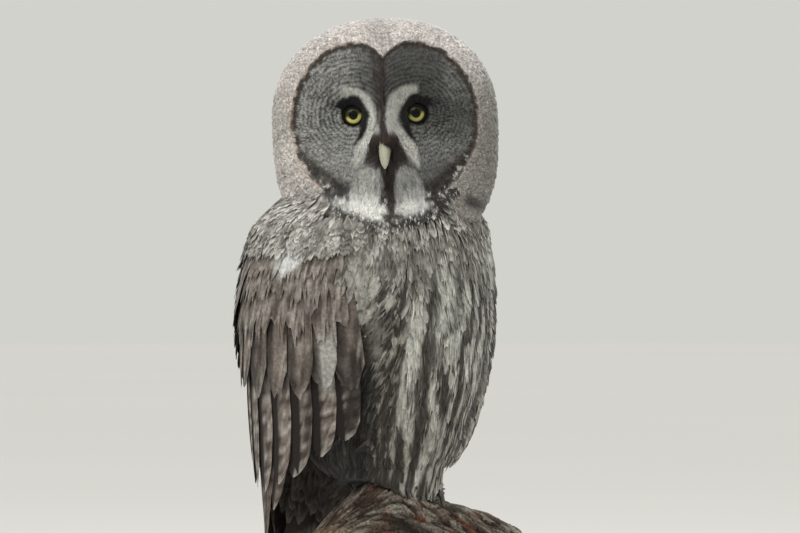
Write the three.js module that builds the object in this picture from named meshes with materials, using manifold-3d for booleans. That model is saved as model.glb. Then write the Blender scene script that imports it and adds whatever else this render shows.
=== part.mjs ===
// A life-size great grey owl, perched with its body turned aside and its face to the viewer.
// Millimetres, +Z up. The origin is the centre of the plinth's underside, and the face looks along -Y.

import * as THREE from "three";
import { mergeVertices } from "three/addons/utils/BufferGeometryUtils.js";
import Module from "manifold-3d";

const wasm = await Module();
wasm.setup();

const DEG = Math.PI / 180;
const GAP = 0.3; // between pieces that touch

// Pose
const BODY_YAW = 45 * DEG; // the breast faces this far to the viewer's right
const HEAD_ROLL = 1.8 * DEG;
const HEAD_CENTRE = { left: -12, back: 2, up: 332 }; // from the point midway between the feet
const TAIL_LEAN = 16.5 * DEG; // off the vertical

// Body plumage: height above the perch, then half width and reach to the front and back
const SQUARENESS = 2.3; // 2 is an ellipse
const TORSO = [
  [6, 30, 10, 42],
  [14, 50, 27, 62],
  [36, 66, 40, 86],
  [64, 78, 49, 108],
  [100, 92, 60, 124],
  [150, 102, 66, 132],
  [200, 100, 64, 128],
  [240, 97, 61, 116],
  [275, 88, 52, 98],
  [310, 74, 40, 80],
];
// Throat and nape: from the torso's top up into the head, its last section turned with the head
const NECK = { from: 236, to: 300, halfWidth: 76, front: 12, back: 52 };

// Outer face of the folded wings, in the same measures, down to the tips over the tail
const MANTLE = [
  [-160, 20, -130, 168],
  [-100, 36, -96, 152],
  [-40, 60, -50, 140],
  [0, 80, 0, 138],
  [40, 96, 40, 139],
  [100, 109, 61, 142],
  [150, 114, 67, 143],
  [200, 111, 66, 137],
  [240, 103, 62, 122],
  [265, 90, 52, 104],
];
// The folded wing lies in a shallow bed in the flank plumage, and its core is this far in from the mantle
const WING_BED = { depth: 10, from: 30, to: 262, front: 46, back: 166 };
const WING_CORE = {
  top: 247,
  bottom: 78,
  front: [74, 56, 54, 58], // angles round the body, from the top down
  back: [118, 152, 156, 150],
  sunk: 6.5,
  topSunk: 12.5,
};
// Tiers of wing feathers from the longest to the scapulars. Each pair is the front and the back feather's
// value: heights above the perch and angles round the body, where 0 faces forward. Half is a vane's half
// width, sag lowers the middle tips, and over is how far the tips stand outside the mantle.
const WING_TIERS = [
  // Primaries
  {
    count: 6,
    root: [112, 98],
    tip: [14, -150],
    rootAngle: [76, 140],
    tipAngle: [82, 166],
    half: 14,
    sag: 14,
    rows: 5,
    over: -2.2,
  },
  // Secondaries
  {
    count: 8,
    root: [160, 150],
    tip: [46, 22],
    rootAngle: [62, 148],
    tipAngle: [51, 162],
    half: 17,
    sag: 36,
    rows: 5,
    over: -0.4,
  },
  // Greater coverts
  {
    count: 7,
    root: [206, 196],
    tip: [76, 92],
    rootAngle: [62, 144],
    tipAngle: [51, 158],
    half: 19,
    sag: 6,
    rows: 4,
    over: 1.4,
  },
  // Median coverts
  {
    count: 6,
    root: [238, 230],
    tip: [140, 150],
    rootAngle: [68, 138],
    tipAngle: [56, 150],
    half: 19,
    sag: 2,
    rows: 4,
    over: 2.8,
  },
  // Scapulars
  {
    count: 4,
    root: [245, 238],
    tip: [165, 108],
    rootAngle: [124, 147],
    tipAngle: [134, 163],
    half: 16,
    sag: 0,
    rows: 4,
    over: 4.2,
  },
];
const VANE = { shaft: 0.9, edge: 0.6, camber: 0.3, rootSunk: 9, shingle: 1 };

// Tail
const TAIL_ROOT = { back: 74, up: 88 };
const TAIL_LENGTH = 296;
const TAIL_FEATHERS = { count: 12, rootSpread: 15, tipSpread: 33, half: 13, layer: 1.5, rounding: 26 };

// Head, from its centre: half width, reach up and down, and depth before and behind the widest line
const HEAD = { halfWidth: 101, up: 92, down: 115, front: 49, back: 72, widest: 8 };
const HEAD_SQUARENESS = { up: 2.2, down: 3 };
const DISC = { radius: 82, notch: 29, notchWidth: 18 * DEG, chin: 9, chinWidth: 22 * DEG };
const FACE_FRONT = 46; // how far the middle of the face stands before the head's centre
const RUFF = { width: 5, height: 3.5, perSide: 15, length: 19, half: 5.3, from: -46, to: 73 };
const LOCK = { root: 1, tip: 0.6 };
// Stiff feathers on the face: between the eyes over the root of the bill, and the beard under it
const LORE = { rows: 4, top: 22, bottom: -6, length: 18, half: 3.2 };
const BEARD = { rows: 4, top: -40, length: 29, half: 4.6 };
const EYE = { radius: 11.5, apart: 28, up: 5, sunk: 8.4 };
const BILL = { front: 41, up: -12, out: 20, hook: 32 };
const NOSTRIL = { radius: 1.5, apart: 6.6, front: 13, down: 4 };
const EYE_HOLLOW = { depth: 13, width: 30 };
const BROW_RIDGE = { height: 9, width: 10 };

// Perch, plinth and rods
const PERCH = { radius: 46, right: 112, left: 138, slope: 10.8 * DEG, bendFrom: 45, bend: 0.0012 };
const PLINTH = { radius: 150, height: 22, bevel: 3 };
const ROD = { radius: 6.5, right: 52, left: 62 };
const TAIL_CLEARANCE = 18;
const FOOT_APART = 20;

const PERCH_TOP =
  PLINTH.height + TAIL_CLEARANCE + TAIL_LENGTH * Math.cos(TAIL_LEAN) - TAIL_ROOT.up;
const BIRD_OFFSET = new THREE.Vector3(22, -22, PERCH_TOP); // sets the weight over the plinth

// Materials
function finish(color, roughness, metalness = 0) {
  return new THREE.MeshStandardMaterial({ color, roughness, metalness });
}
const FACE_GREY = finish(0x8f8b86, 0.9);
const BODY_GREY = finish(0x8a827a, 0.9);
const WING_BROWN = finish(0x6f625a, 0.88);
const TAIL_BROWN = finish(0x5d534c, 0.88);
const LEG_GREY = finish(0x9b948c, 0.92);
const HORN = finish(0xb9b28a, 0.4);
const CLAW_BLACK = finish(0x2a2624, 0.35);
const IRIS_YELLOW = finish(0xd9cf4a, 0.12);
const LID_BLACK = finish(0x1c1917, 0.6);
const BARK = finish(0x6b5f50, 0.95);
const PLINTH_WOOD = finish(0x3a3029, 0.5);
const ROD_STEEL = finish(0x4a4a4c, 0.35, 0.9);

// A closed solid of a geometry, turned right side out.
function solidOf(geometry) {
  const bare = new THREE.BufferGeometry();
  bare.setAttribute("position", geometry.getAttribute("position"));
  bare.setIndex(geometry.index);
  const merged = mergeVertices(bare, 1e-4);
  const build = (corners) =>
    new wasm.Manifold(
      new wasm.Mesh({
        numProp: 3,
        vertProperties: new Float32Array(merged.attributes.position.array),
        triVerts: new Uint32Array(corners),
      }),
    );
  const corners = Array.from(merged.index.array);
  const made = build(corners);
  return made.volume() > 0 ? made : build(corners.reverse());
}

// A closed solid through rings of points, shut at both ends or joined end to end.
function loft(rings, joined = false) {
  const count = rings[0].length;
  const points = rings.flat();
  const index = [];
  const last = joined ? rings.length : rings.length - 1;
  for (let i = 0; i < last; i += 1)
    for (let j = 0; j < count; j += 1) {
      const next = ((i + 1) % rings.length) * count;
      const [a, b] = [i * count + j, i * count + ((j + 1) % count)];
      const [c, d] = [next + ((j + 1) % count), next + j];
      index.push(a, b, c, a, c, d);
    }
  if (!joined)
    for (const [ring, first, turned] of [
      [rings[0], 0, true],
      [rings[rings.length - 1], (rings.length - 1) * count, false],
    ]) {
      const middle = new THREE.Vector3();
      ring.forEach((point) => middle.addScaledVector(point, 1 / count));
      points.push(middle);
      for (let j = 0; j < count; j += 1) {
        const [a, b] = [first + j, first + ((j + 1) % count)];
        index.push(points.length - 1, turned ? b : a, turned ? a : b);
      }
    }
  const geometry = new THREE.BufferGeometry().setFromPoints(points);
  geometry.setIndex(index);
  return solidOf(geometry);
}

// A thin closed solid between two grids of points, split into triangles alike on both faces.
function plate(outer, inner) {
  const rows = outer.length;
  const columns = outer[0].length;
  const points = [...outer.flat(), ...inner.flat()];
  const at = (side, i, j) => side * rows * columns + i * columns + j;
  const index = [];
  for (let i = 0; i < rows - 1; i += 1)
    for (let j = 0; j < columns - 1; j += 1) {
      const [a, b, c, d] = [at(0, i, j), at(0, i, j + 1), at(0, i + 1, j + 1), at(0, i + 1, j)];
      const shift = rows * columns;
      index.push(a, b, c, a, c, d);
      index.push(c + shift, b + shift, a + shift, d + shift, c + shift, a + shift);
    }
  const rim = [];
  for (let j = 0; j < columns - 1; j += 1) rim.push([0, j]);
  for (let i = 0; i < rows - 1; i += 1) rim.push([i, columns - 1]);
  for (let j = columns - 1; j > 0; j -= 1) rim.push([rows - 1, j]);
  for (let i = rows - 1; i > 0; i -= 1) rim.push([i, 0]);
  rim.forEach(([i, j], n) => {
    const [k, l] = rim[(n + 1) % rim.length];
    const [a, b, c, d] = [at(0, i, j), at(0, k, l), at(1, k, l), at(1, i, j)];
    index.push(b, a, d, b, d, c);
  });
  const geometry = new THREE.BufferGeometry().setFromPoints(points);
  geometry.setIndex(index);
  return solidOf(geometry);
}

// The largest closed surface of a solid, so that no scrap of a cut is kept.
function largest(solid) {
  return solid.decompose().reduce((a, b) => (b.volume() > a.volume() ? b : a));
}

// A solid with others cut away from it.
function without(solid, cutters) {
  return largest(cutters.reduce((rest, cutter) => rest.subtract(cutter), solid));
}

function meshOf(name, solid, material) {
  const made = solid.getMesh();
  const geometry = new THREE.BufferGeometry();
  geometry.setAttribute("position", new THREE.BufferAttribute(made.vertProperties, 3));
  geometry.setIndex(new THREE.BufferAttribute(made.triVerts, 1));
  geometry.computeVertexNormals();
  const mesh = new THREE.Mesh(geometry, material);
  mesh.name = name;
  return mesh;
}

// A table's values at a key, on a smooth curve through its rows.
function along(table, key) {
  let i = 1;
  while (i < table.length - 1 && table[i][0] < key) i += 1;
  const [a, b] = [table[i - 1], table[i]];
  const before = table[Math.max(i - 2, 0)];
  const after = table[Math.min(i + 1, table.length - 1)];
  const span = b[0] - a[0];
  const t = THREE.MathUtils.clamp((key - a[0]) / span, 0, 1);
  return a.slice(1).map((_, n) => {
    const column = n + 1;
    const slopeA = ((b[column] - before[column]) / (b[0] - before[0])) * span;
    const slopeB = ((after[column] - a[column]) / (after[0] - a[0])) * span;
    const [t2, t3] = [t * t, t * t * t];
    return (
      a[column] * (2 * t3 - 3 * t2 + 1) +
      slopeA * (t3 - 2 * t2 + t) +
      b[column] * (3 * t2 - 2 * t3) +
      slopeB * (t3 - t2)
    );
  });
}

const power = (value, exponent) => Math.sign(value) * Math.abs(value) ** exponent;
const steps = (from, to, count) =>
  Array.from({ length: count + 1 }, (_, i) => from + ((to - from) * i) / count);

// A point on a body table's section at a height. Angle 0 faces forward and 90 degrees left.
function bodyPoint(table, height, angle, grow = 0) {
  const [halfWidth, front, back] = along(table, height);
  return new THREE.Vector3(
    (halfWidth + grow) * power(Math.sin(angle), 2 / SQUARENESS),
    (back - front) / 2 - ((back + front) / 2 + grow) * power(Math.cos(angle), 2 / SQUARENESS),
    height,
  );
}

// How far the flank plumage gives way under a folded wing.
function bedDepth(height, angle) {
  const { smoothstep } = THREE.MathUtils;
  const round = Math.abs(Math.atan2(Math.sin(angle), Math.cos(angle))) / DEG;
  const { from, to, front, back, depth } = WING_BED;
  const high = smoothstep(height, from, from + 50) - smoothstep(height, to - 24, to);
  const wide = smoothstep(round, front, front + 14) - smoothstep(round, back - 16, back);
  return depth * high * wide;
}

// A point on the body plumage, with the beds of both wings.
function plumagePoint(height, angle, grow = 0) {
  return bodyPoint(TORSO, height, angle, grow - bedDepth(height, angle));
}

function plumageRing(height, count, grow) {
  return steps(0, 2 * Math.PI, count)
    .slice(1)
    .map((angle) => plumagePoint(height, angle, grow));
}

// Breast, belly, flanks and back as one plumage form.
function torsoSolid(grow = 0) {
  const heights = [6, 12, 22, 36, 52, 70, 92, 118, 146, 176, 206, NECK.from];
  return loft(heights.map((height) => plumageRing(height + (height === 6 ? -grow : 0), 32, grow)));
}

// The neck's section at a height, which turns from the body's form to the head's on the way up.
function neckRing(height, count, grow) {
  const share = THREE.MathUtils.smoothstep(height, NECK.from, NECK.to);
  const middle = (NECK.back - NECK.front) / 2;
  const depth = (NECK.back + NECK.front) / 2;
  const upright = new THREE.Vector3(0, 0, 1);
  return steps(0, 2 * Math.PI, count)
    .slice(1)
    .map((angle) => {
      const turned = angle + BODY_YAW;
      const top = new THREE.Vector3(
        (NECK.halfWidth + grow) * Math.sin(turned),
        middle - (depth + grow) * Math.cos(turned),
        0,
      );
      top.applyAxisAngle(upright, -BODY_YAW);
      top.add(new THREE.Vector3(HEAD_CENTRE.left, HEAD_CENTRE.back, height));
      return plumagePoint(height, angle, grow).lerp(top, share);
    });
}

// Throat and nape between torso and head.
function neckSolid(grow = 0) {
  return loft(steps(NECK.from + GAP - 2 * grow, NECK.to, 5).map((height) => neckRing(height, 32, grow)));
}

// Outline of the head as seen face on: its reach from the middle of the face.
function headRadius(angle) {
  const [c, s] = [Math.abs(Math.cos(angle)), Math.abs(Math.sin(angle))];
  const half = Math.sin(angle) > 0 ? "up" : "down";
  const n = HEAD_SQUARENESS[half];
  return ((c / HEAD.halfWidth) ** n + (s / HEAD[half]) ** n) ** (-1 / n);
}

// Edge of the facial disc round its middle: nearly a circle, notched over the bill.
function discRadius(angle) {
  const from = (middle) => Math.acos(Math.cos(angle - middle));
  const notch = DISC.notch * Math.exp(-from(Math.PI / 2) / DISC.notchWidth);
  const chin = DISC.chin * Math.exp(-from(-Math.PI / 2) / DISC.chinWidth);
  return DISC.radius - notch - chin;
}

// How far forward the head's own form stands where its outline has drawn in to a share of full size.
function skullFront(share) {
  return HEAD.front * Math.sqrt(Math.max(0, 1 - share * share)) - HEAD.widest;
}

// Forward reach of the face at a place on the disc: a middle ridge and two dished eyes.
function faceFront(x, z) {
  const angle = Math.atan2(z, x);
  const disc = discRadius(angle);
  const share = Math.min(1, Math.hypot(x, z) / disc);
  const rim = skullFront((disc + RUFF.width) / headRadius(angle));
  const fromEye = Math.hypot(Math.abs(x) - EYE.apart - 4, z - EYE.up + 2);
  const hollow = EYE_HOLLOW.depth * Math.exp(-((fromEye / EYE_HOLLOW.width) ** 2)) * (1 - share ** 4);
  const ridge = BROW_RIDGE.height * Math.exp(-((x / BROW_RIDGE.width) ** 2)) * (1 - share ** 2);
  return rim * share ** 2 + FACE_FRONT * (1 - share ** 2) - hollow + ridge;
}

// A point on the skull behind the disc's rim: share 0 at the rim and 1 at the nape's pole.
function skullPoint(share, angle, grow = 0) {
  const turn = Math.acos((discRadius(angle) + RUFF.width) / headRadius(angle));
  const swing = THREE.MathUtils.lerp(-turn, Math.PI / 2, share);
  const depth = swing < 0 ? HEAD.front : HEAD.back;
  const r = (headRadius(angle) + grow) * Math.cos(swing);
  const y = HEAD.widest + (depth + grow) * Math.sin(swing);
  return new THREE.Vector3(r * Math.cos(angle), y, r * Math.sin(angle));
}

// The head as rings round the line of sight, from the middle of the face to the nape.
function headSolid(grow = 0) {
  const ring = (place) => steps(0, 2 * Math.PI, 36).slice(1).map(place);
  const facePlace = (share) => (angle) => {
    const r = share * discRadius(angle);
    const [x, z] = [r * Math.cos(angle), r * Math.sin(angle)];
    return new THREE.Vector3(x, -faceFront(x, z) - grow, z);
  };
  const crestPlace = (angle) => {
    const r = discRadius(angle) + RUFF.width / 2;
    const front = skullFront((discRadius(angle) + RUFF.width) / headRadius(angle));
    return new THREE.Vector3(r * Math.cos(angle), -front - RUFF.height - grow, r * Math.sin(angle));
  };
  return loft([
    ...[0.1, 0.26, 0.42, 0.58, 0.74, 0.88, 1].map((share) => ring(facePlace(share))),
    ring(crestPlace),
    ...[0, 0.13, 0.28, 0.43, 0.58, 0.73, 0.87, 0.97].map((share) =>
      ring((angle) => skullPoint(share, angle, grow)),
    ),
  ]);
}

// Short stiff feathers of the ruff, rooted in the disc's rim and swept back over the head, side by side.
function ruffSolids() {
  const { perSide, length, half, from, to } = RUFF;
  const curveShare = 0.0062; // of the skull's curve from rim to nape, for each millimetre
  return [-1, 1].flatMap((side) =>
    steps(from, to, perSide - 1).map((degrees, n) => {
      const reach = length * (1 + 0.12 * Math.sin(5.3 * n + side));
      const place = (share, sideways, over) => {
        const angle = degrees * DEG + sideways / (discRadius(degrees * DEG) + 8);
        const lift = -2.4 + 17 * share - 11.6 * share ** 2;
        const point = skullPoint(curveShare * reach * share, angle, lift + over);
        return point.setX(side * point.x);
      };
      return lock(place, half, 0.5);
    }),
  );
}

// A lock that lies on the face from one place to another and stands off it towards the tip.
function faceLock(side, from, to, half, raised) {
  const [dx, dz] = [to.x - from.x, to.z - from.z];
  const long = Math.hypot(dx, dz);
  return lock((share, sideways, over) => {
    const x = from.x + dx * share + (dz / long) * sideways;
    const z = from.z + dz * share - (dx / long) * sideways;
    const lift = -3 + (3 + raised) * Math.min(1, 1.8 * share) + over;
    return new THREE.Vector3(side * x, -faceFront(x, z) - lift, z);
  }, half, 0.25);
}

// Bristles between the eyes that cover the root of the bill, and the beard under it.
function faceLocks() {
  const locks = [];
  for (const side of [-1, 1]) {
    steps(0, 1, LORE.rows - 1).forEach((u) => {
      const from = { x: 2.5, z: THREE.MathUtils.lerp(LORE.top, LORE.bottom, u) };
      const to = { x: from.x + 5 + 5 * u, z: from.z - LORE.length };
      locks.push(faceLock(side, from, to, LORE.half, 1.5 + 0.8 * u));
    });
    steps(0, 1, BEARD.rows - 1).forEach((u) => {
      const from = { x: THREE.MathUtils.lerp(8, 30, u), z: BEARD.top + 4 * u };
      const to = { x: from.x + 3 * u, z: from.z - BEARD.length * (1 - 0.25 * u) };
      locks.push(faceLock(side, from, to, BEARD.half, 2.4));
    });
  }
  return locks;
}

function eyeCentre(side) {
  return new THREE.Vector3(
    side * EYE.apart,
    EYE.sunk - faceFront(side * EYE.apart, EYE.up),
    EYE.up,
  );
}

// The front of an eyeball, flat behind where it sits in its socket.
function eyeSolid(side, grow = 0) {
  const at = eyeCentre(side);
  return loft(
    [10, 28, 48, 72, 102].map((offAxis) =>
      steps(0, 2 * Math.PI, 18)
        .slice(1)
        .map((turn) => {
          const radius = EYE.radius + grow;
          const wide = radius * Math.sin(offAxis * DEG);
          const back = offAxis === 102 ? grow : 0;
          return new THREE.Vector3(
            at.x + wide * Math.cos(turn),
            at.y - radius * Math.cos(offAxis * DEG) + back,
            at.z + wide * Math.sin(turn),
          );
        }),
    ),
  );
}

// Both lids of an eye, a ring lying on the ball. The upper one hangs lower.
function lidSolid(side, grow = 0) {
  const at = eyeCentre(side);
  const on = (radius, offAxis, turn) =>
    new THREE.Vector3(
      at.x + radius * Math.sin(offAxis) * Math.cos(turn),
      at.y - radius * Math.cos(offAxis),
      at.z + radius * Math.sin(offAxis) * Math.sin(turn),
    );
  const sections = steps(0, 2 * Math.PI, 18)
    .slice(1)
    .map((turn) => {
      const opening = (41 - 8 * Math.max(0, Math.sin(turn)) ** 2) * DEG;
      const [inner, outer] = [EYE.radius + GAP + 0.3, EYE.radius + 2 + grow];
      const spread = grow / EYE.radius;
      return [
        on(inner, opening - spread, turn),
        on(outer, opening + 4 * DEG - spread, turn),
        on(outer, 60 * DEG + spread, turn),
        on(inner, 62 * DEG + spread, turn),
      ];
    });
  return loft(sections, true);
}

// A tapering round form along a curve, with its half width and half depth at each station.
function taper(points, sizes, around, count) {
  const curve = new THREE.CatmullRomCurve3(points);
  const table = sizes.map(([wide, deep], i) => [i / (sizes.length - 1), wide, deep]);
  const side = new THREE.Vector3(1, 0, 0);
  return loft(
    steps(0, 1, count).map((t) => {
      const [wide, deep] = along(table, t);
      const centre = curve.getPoint(t);
      const heading = curve.getTangent(t);
      const across = side.clone().addScaledVector(heading, -side.dot(heading)).normalize();
      const up = heading.clone().cross(across);
      return steps(0, 2 * Math.PI, around)
        .slice(1)
        .map((turn) =>
          centre
            .clone()
            .addScaledVector(across, wide * Math.cos(turn))
            .addScaledVector(up, deep * Math.sin(turn)),
        );
    }),
  );
}

// Upper bill: out of the face, then hooked straight down, with a nostril on each side.
function billUpperSolid(grow = 0) {
  const { front, up, out, hook } = BILL;
  const bill = taper(
    [
      new THREE.Vector3(0, -front, up),
      new THREE.Vector3(0, -front - 0.62 * out, up - 0.1 * hook),
      new THREE.Vector3(0, -front - out, up - 0.42 * hook),
      new THREE.Vector3(0, -front - 0.86 * out, up - hook),
    ],
    [
      [7.4 + grow, 9 + grow],
      [6.4 + grow, 8 + grow],
      [4.8 + grow, 5.8 + grow],
      [0.9 + grow, 1.1 + grow],
    ],
    12,
    8,
  );
  if (grow > 0) return bill;
  const nostrils = [-1, 1].map((side) => {
    const pit = new THREE.SphereGeometry(NOSTRIL.radius, 8, 6);
    pit.translate(side * NOSTRIL.apart, -front - NOSTRIL.front, up - NOSTRIL.down);
    return solidOf(pit);
  });
  return bill.subtract(nostrils[0]).subtract(nostrils[1]);
}

// Lower bill, closed up behind the hook.
function billLowerSolid(grow = 0) {
  const { front, up, out, hook } = BILL;
  return taper(
    [
      new THREE.Vector3(0, -front, up - 0.42 * hook),
      new THREE.Vector3(0, -front - 0.42 * out, up - 0.52 * hook),
      new THREE.Vector3(0, -front - 0.66 * out, up - 0.76 * hook),
    ],
    [
      [6 + grow, 5 + grow],
      [5 + grow, 4 + grow],
      [2.2 + grow, 1.6 + grow],
    ],
    10,
    4,
  );
}

// A feather's vane as a closed plate: rows of three points along it, a raised shaft line, and a round tip.
// `place` gives the point at a share of the length, a sideways reach and a height over what it lies on.
function vane(place, half, rows) {
  const shares = { 3: [0, 0.6, 1], 4: [0, 0.45, 0.86, 1], 5: [0, 0.3, 0.66, 0.92, 1] }[rows];
  const widths = { 3: [0.55, 1, 0.5], 4: [0.5, 0.95, 0.92, 0.4], 5: [0.45, 0.85, 1, 0.82, 0.34] }[rows];
  const face = (side) =>
    shares.map((share, i) =>
      [-1, 0, 1].map((across) => {
        const back = i === rows - 1 ? 0.03 * Math.abs(across) : 0;
        const thickness = across === 0 ? VANE.shaft : VANE.edge;
        const camber = VANE.camber * (1 - across * across);
        return place(share - back, across * half * widths[i], camber + (side * thickness) / 2);
      }),
    );
  return plate(face(1), face(-1));
}

// A flat tapered lock with a square root, as rows of two points.
function lock(place, half, tip) {
  const shares = [0, 0.55, 1];
  const widths = [0.8, 1, tip];
  const face = (side) =>
    shares.map((share, i) =>
      [-1, 1].map((across) => {
        const thickness = i === 2 ? LOCK.tip : LOCK.root;
        return place(share, across * half * widths[i], (side * thickness) / 2);
      }),
    );
  return plate(face(1), face(-1));
}

// The folded wing on one side: a core in its bed, and tiers of vanes rooted in it. In a tier each vane
// nearer the back lies on the one before it, and each tier's roots are under the tips of the tier above.
function wingSolid(side, cutters) {
  const { lerp } = THREE.MathUtils;
  const mirrored = (point) => new THREE.Vector3(side * point.x, point.y, point.z);
  const edge = (table, share) => along(table.map((angle, i) => [i / 3, angle]), share)[0];
  const core = (place) =>
    [0, 0.12, 0.3, 0.5, 0.7, 0.86, 1].map((share) => {
      const height = lerp(WING_CORE.top, WING_CORE.bottom, share);
      return steps(edge(WING_CORE.front, share), edge(WING_CORE.back, share), 7).map((angle) =>
        mirrored(place(height, angle * DEG)),
      );
    });
  const outer = core((height, angle) => {
    const shoulder = Math.max(0, 1 - (WING_CORE.top - height) / 25);
    return bodyPoint(MANTLE, height, angle, -lerp(WING_CORE.sunk, WING_CORE.topSunk, shoulder));
  });
  const inner = core((height, angle) => plumagePoint(height, angle, 1.2));
  const pieces = [plate(outer, inner)];
  for (const tier of WING_TIERS)
    steps(0, 1, tier.count - 1).forEach((u) => {
      const droop = tier.sag * Math.sin(Math.PI * u);
      const from = { height: lerp(...tier.root, u), angle: lerp(...tier.rootAngle, u) };
      const to = { height: lerp(...tier.tip, u) - droop, angle: lerp(...tier.tipAngle, u) };
      const place = (share, sideways, over) => {
        const height = lerp(from.height, to.height, share);
        const angle = lerp(from.angle, to.angle, share) * DEG;
        const here = bodyPoint(MANTLE, height, angle);
        const reach = here.distanceTo(bodyPoint(MANTLE, height, angle + 0.02)) / 0.02;
        const lift = tier.over - VANE.rootSunk * (1 - share) ** 1.7;
        const tilt = (-VANE.shingle * sideways) / tier.half;
        return mirrored(bodyPoint(MANTLE, height, angle + sideways / reach, lift + tilt + over));
      };
      pieces.push(vane(place, tier.half, tier.rows));
    });
  const clearOfOther = 1.5; // from the middle plane, where the tips of both wings come near each other
  return without(wasm.Manifold.union(pieces).trimByPlane([side, 0, 0], clearOfOther), cutters);
}

// The closed tail: vanes fanned out of a stub in the rump, the middle pair on top and each pair outside it
// one layer further in.
function tailSolid(cutters) {
  const { count, rootSpread, tipSpread, half, layer, rounding } = TAIL_FEATHERS;
  const down = new THREE.Vector3(0, Math.sin(TAIL_LEAN), -Math.cos(TAIL_LEAN));
  const outward = new THREE.Vector3(0, Math.cos(TAIL_LEAN), Math.sin(TAIL_LEAN));
  const root = new THREE.Vector3(0, TAIL_ROOT.back, TAIL_ROOT.up);
  const stub = taper(
    [root, root.clone().addScaledVector(down, 30), root.clone().addScaledVector(down, 74)],
    [[24, 13], [25, 12], [26, 5]],
    14,
    3,
  );
  const pieces = steps(-1, 1, count - 1).map((u) => {
    const rank = (Math.abs(u) * (count - 1) - 1) / 2;
    const level = 4 - layer * rank - (u < 0 ? layer / 2 : 0);
    const length = TAIL_LENGTH - rounding * u * u;
    const place = (share, sideways, over) =>
      root
        .clone()
        .addScaledVector(down, THREE.MathUtils.lerp(22, length, share))
        .addScaledVector(outward, THREE.MathUtils.lerp(0.4 * level, level, Math.min(1, 2 * share)) + over)
        .setX(u * THREE.MathUtils.lerp(rootSpread, tipSpread, share) + sideways);
    return vane(place, half, 5);
  });
  return without(wasm.Manifold.union([stub, ...pieces]), cutters);
}

// The room that the closed tail takes up, which the wing tips lie against.
function tailClearance() {
  const { tipSpread, half } = TAIL_FEATHERS;
  const slab = new THREE.BoxGeometry(2 * (tipSpread + half), 26, TAIL_LENGTH + 20);
  slab.translate(0, -6, -TAIL_LENGTH / 2 - 5);
  slab.rotateX(TAIL_LEAN);
  slab.translate(0, TAIL_ROOT.back, TAIL_ROOT.up);
  return solidOf(slab);
}

// Bark: shallow lengthwise ridges that wander, and a broken end that tapers down to the right.
function perchSolid(grow = 0) {
  const around = 26;
  return loft(
    [-112, -98, -82, -64, -48, -30, -5, 25, 60, 95, 125, PERCH.left].map((station) => {
      const broken = Math.max(0, (-station - 34) / (PERCH.right - 34));
      const shrink = 1 - 0.78 * broken ** 1.3;
      const sag = PERCH.bend * Math.max(0, station - PERCH.bendFrom) ** 2;
      const drop = PERCH.radius * 0.8 * broken ** 1.2 + sag;
      return steps(0, 2 * Math.PI, around)
        .slice(1)
        .map((turn) => {
          const ridge = 1.1 * Math.sin(9 * turn + station / 40) + 0.8 * Math.sin(4 * turn - station / 25);
          const r = PERCH.radius * shrink + ridge * shrink + grow;
          return new THREE.Vector3(
            station + Math.sign(station) * (Math.abs(station) >= PERCH.right ? grow : 0),
            r * Math.cos(turn),
            r * Math.sin(turn) - drop,
          );
        });
    }),
  );
}

// Toes of a foot: the degrees round the perch where each starts and ends, and how far it ends to the side.
const TOES = [
  { name: "inner", from: 26, to: -12, spread: -7 },
  { name: "middle", from: 26, to: -18, spread: 2 },
  { name: "outer", from: 24, to: -5, spread: 12 },
  { name: "hind", from: 20, to: 56, spread: -5 },
];
const TOE_RADIUS = 7.5;

// A point at an angle round the perch, where 0 is the top and positive turns to the back.
function roundPerch(station, angle, radius) {
  return new THREE.Vector3(station, radius * Math.sin(angle * DEG), radius * Math.cos(angle * DEG));
}

function toesSolid(side, grow = 0) {
  const middle = side * FOOT_APART;
  const toes = TOES.map(({ from, to, spread }) => {
    const reach = steps(0, 1, 3).map((t) =>
      roundPerch(
        middle + side * spread * t,
        THREE.MathUtils.lerp(from, to, t),
        PERCH.radius + TOE_RADIUS - 1.5 * t,
      ),
    );
    const sizes = [8, TOE_RADIUS, 6].map((radius) => [radius + grow, radius + grow]);
    return taper(reach, sizes, 7, 4);
  });
  return wasm.Manifold.union(toes);
}

function clawSolid(side, toe, cutters) {
  const middle = side * (FOOT_APART + toe.spread);
  const heading = Math.sign(toe.to);
  const claw = taper(
    [
      roundPerch(middle - side * 1, toe.to - heading * 3, PERCH.radius + 6),
      roundPerch(middle, toe.to + heading * 10, PERCH.radius + 8),
      roundPerch(middle, toe.to + heading * 23, PERCH.radius + 1.8),
    ],
    [[3.2, 3.4], [2.6, 2.8], [0.6, 0.7]],
    6,
    5,
  );
  return without(claw, cutters);
}

// The feathered leg between belly and foot.
function legSolid(side, cutters) {
  const top = new THREE.Vector3(side * 34, 14, 52);
  const middle = new THREE.Vector3(side * 27, 15, 26);
  const bottom = new THREE.Vector3(side * FOOT_APART, 18, 2);
  const leg = taper([top, middle, bottom], [[27, 30], [21, 23], [14, 15]], 14, 4);
  return without(leg, cutters);
}

function rodSolid(cutters) {
  return (station) => {
    const reach = PERCH_TOP - PLINTH.height - GAP;
    const rod = new THREE.CylinderGeometry(ROD.radius, ROD.radius, reach, 20);
    rod.rotateX(Math.PI / 2);
    rod.translate(station, 0, -PERCH_TOP + PLINTH.height + GAP + reach / 2);
    return without(solidOf(rod), cutters);
  };
}

function plinthSolid() {
  const { radius, height, bevel } = PLINTH;
  const profile = [
    new THREE.Vector2(0, 0),
    new THREE.Vector2(radius, 0),
    new THREE.Vector2(radius, height - bevel),
    new THREE.Vector2(radius - bevel, height),
    new THREE.Vector2(0, height),
  ];
  const lathe = new THREE.LatheGeometry(profile, 48);
  lathe.rotateX(Math.PI / 2);
  return solidOf(lathe);
}

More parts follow.
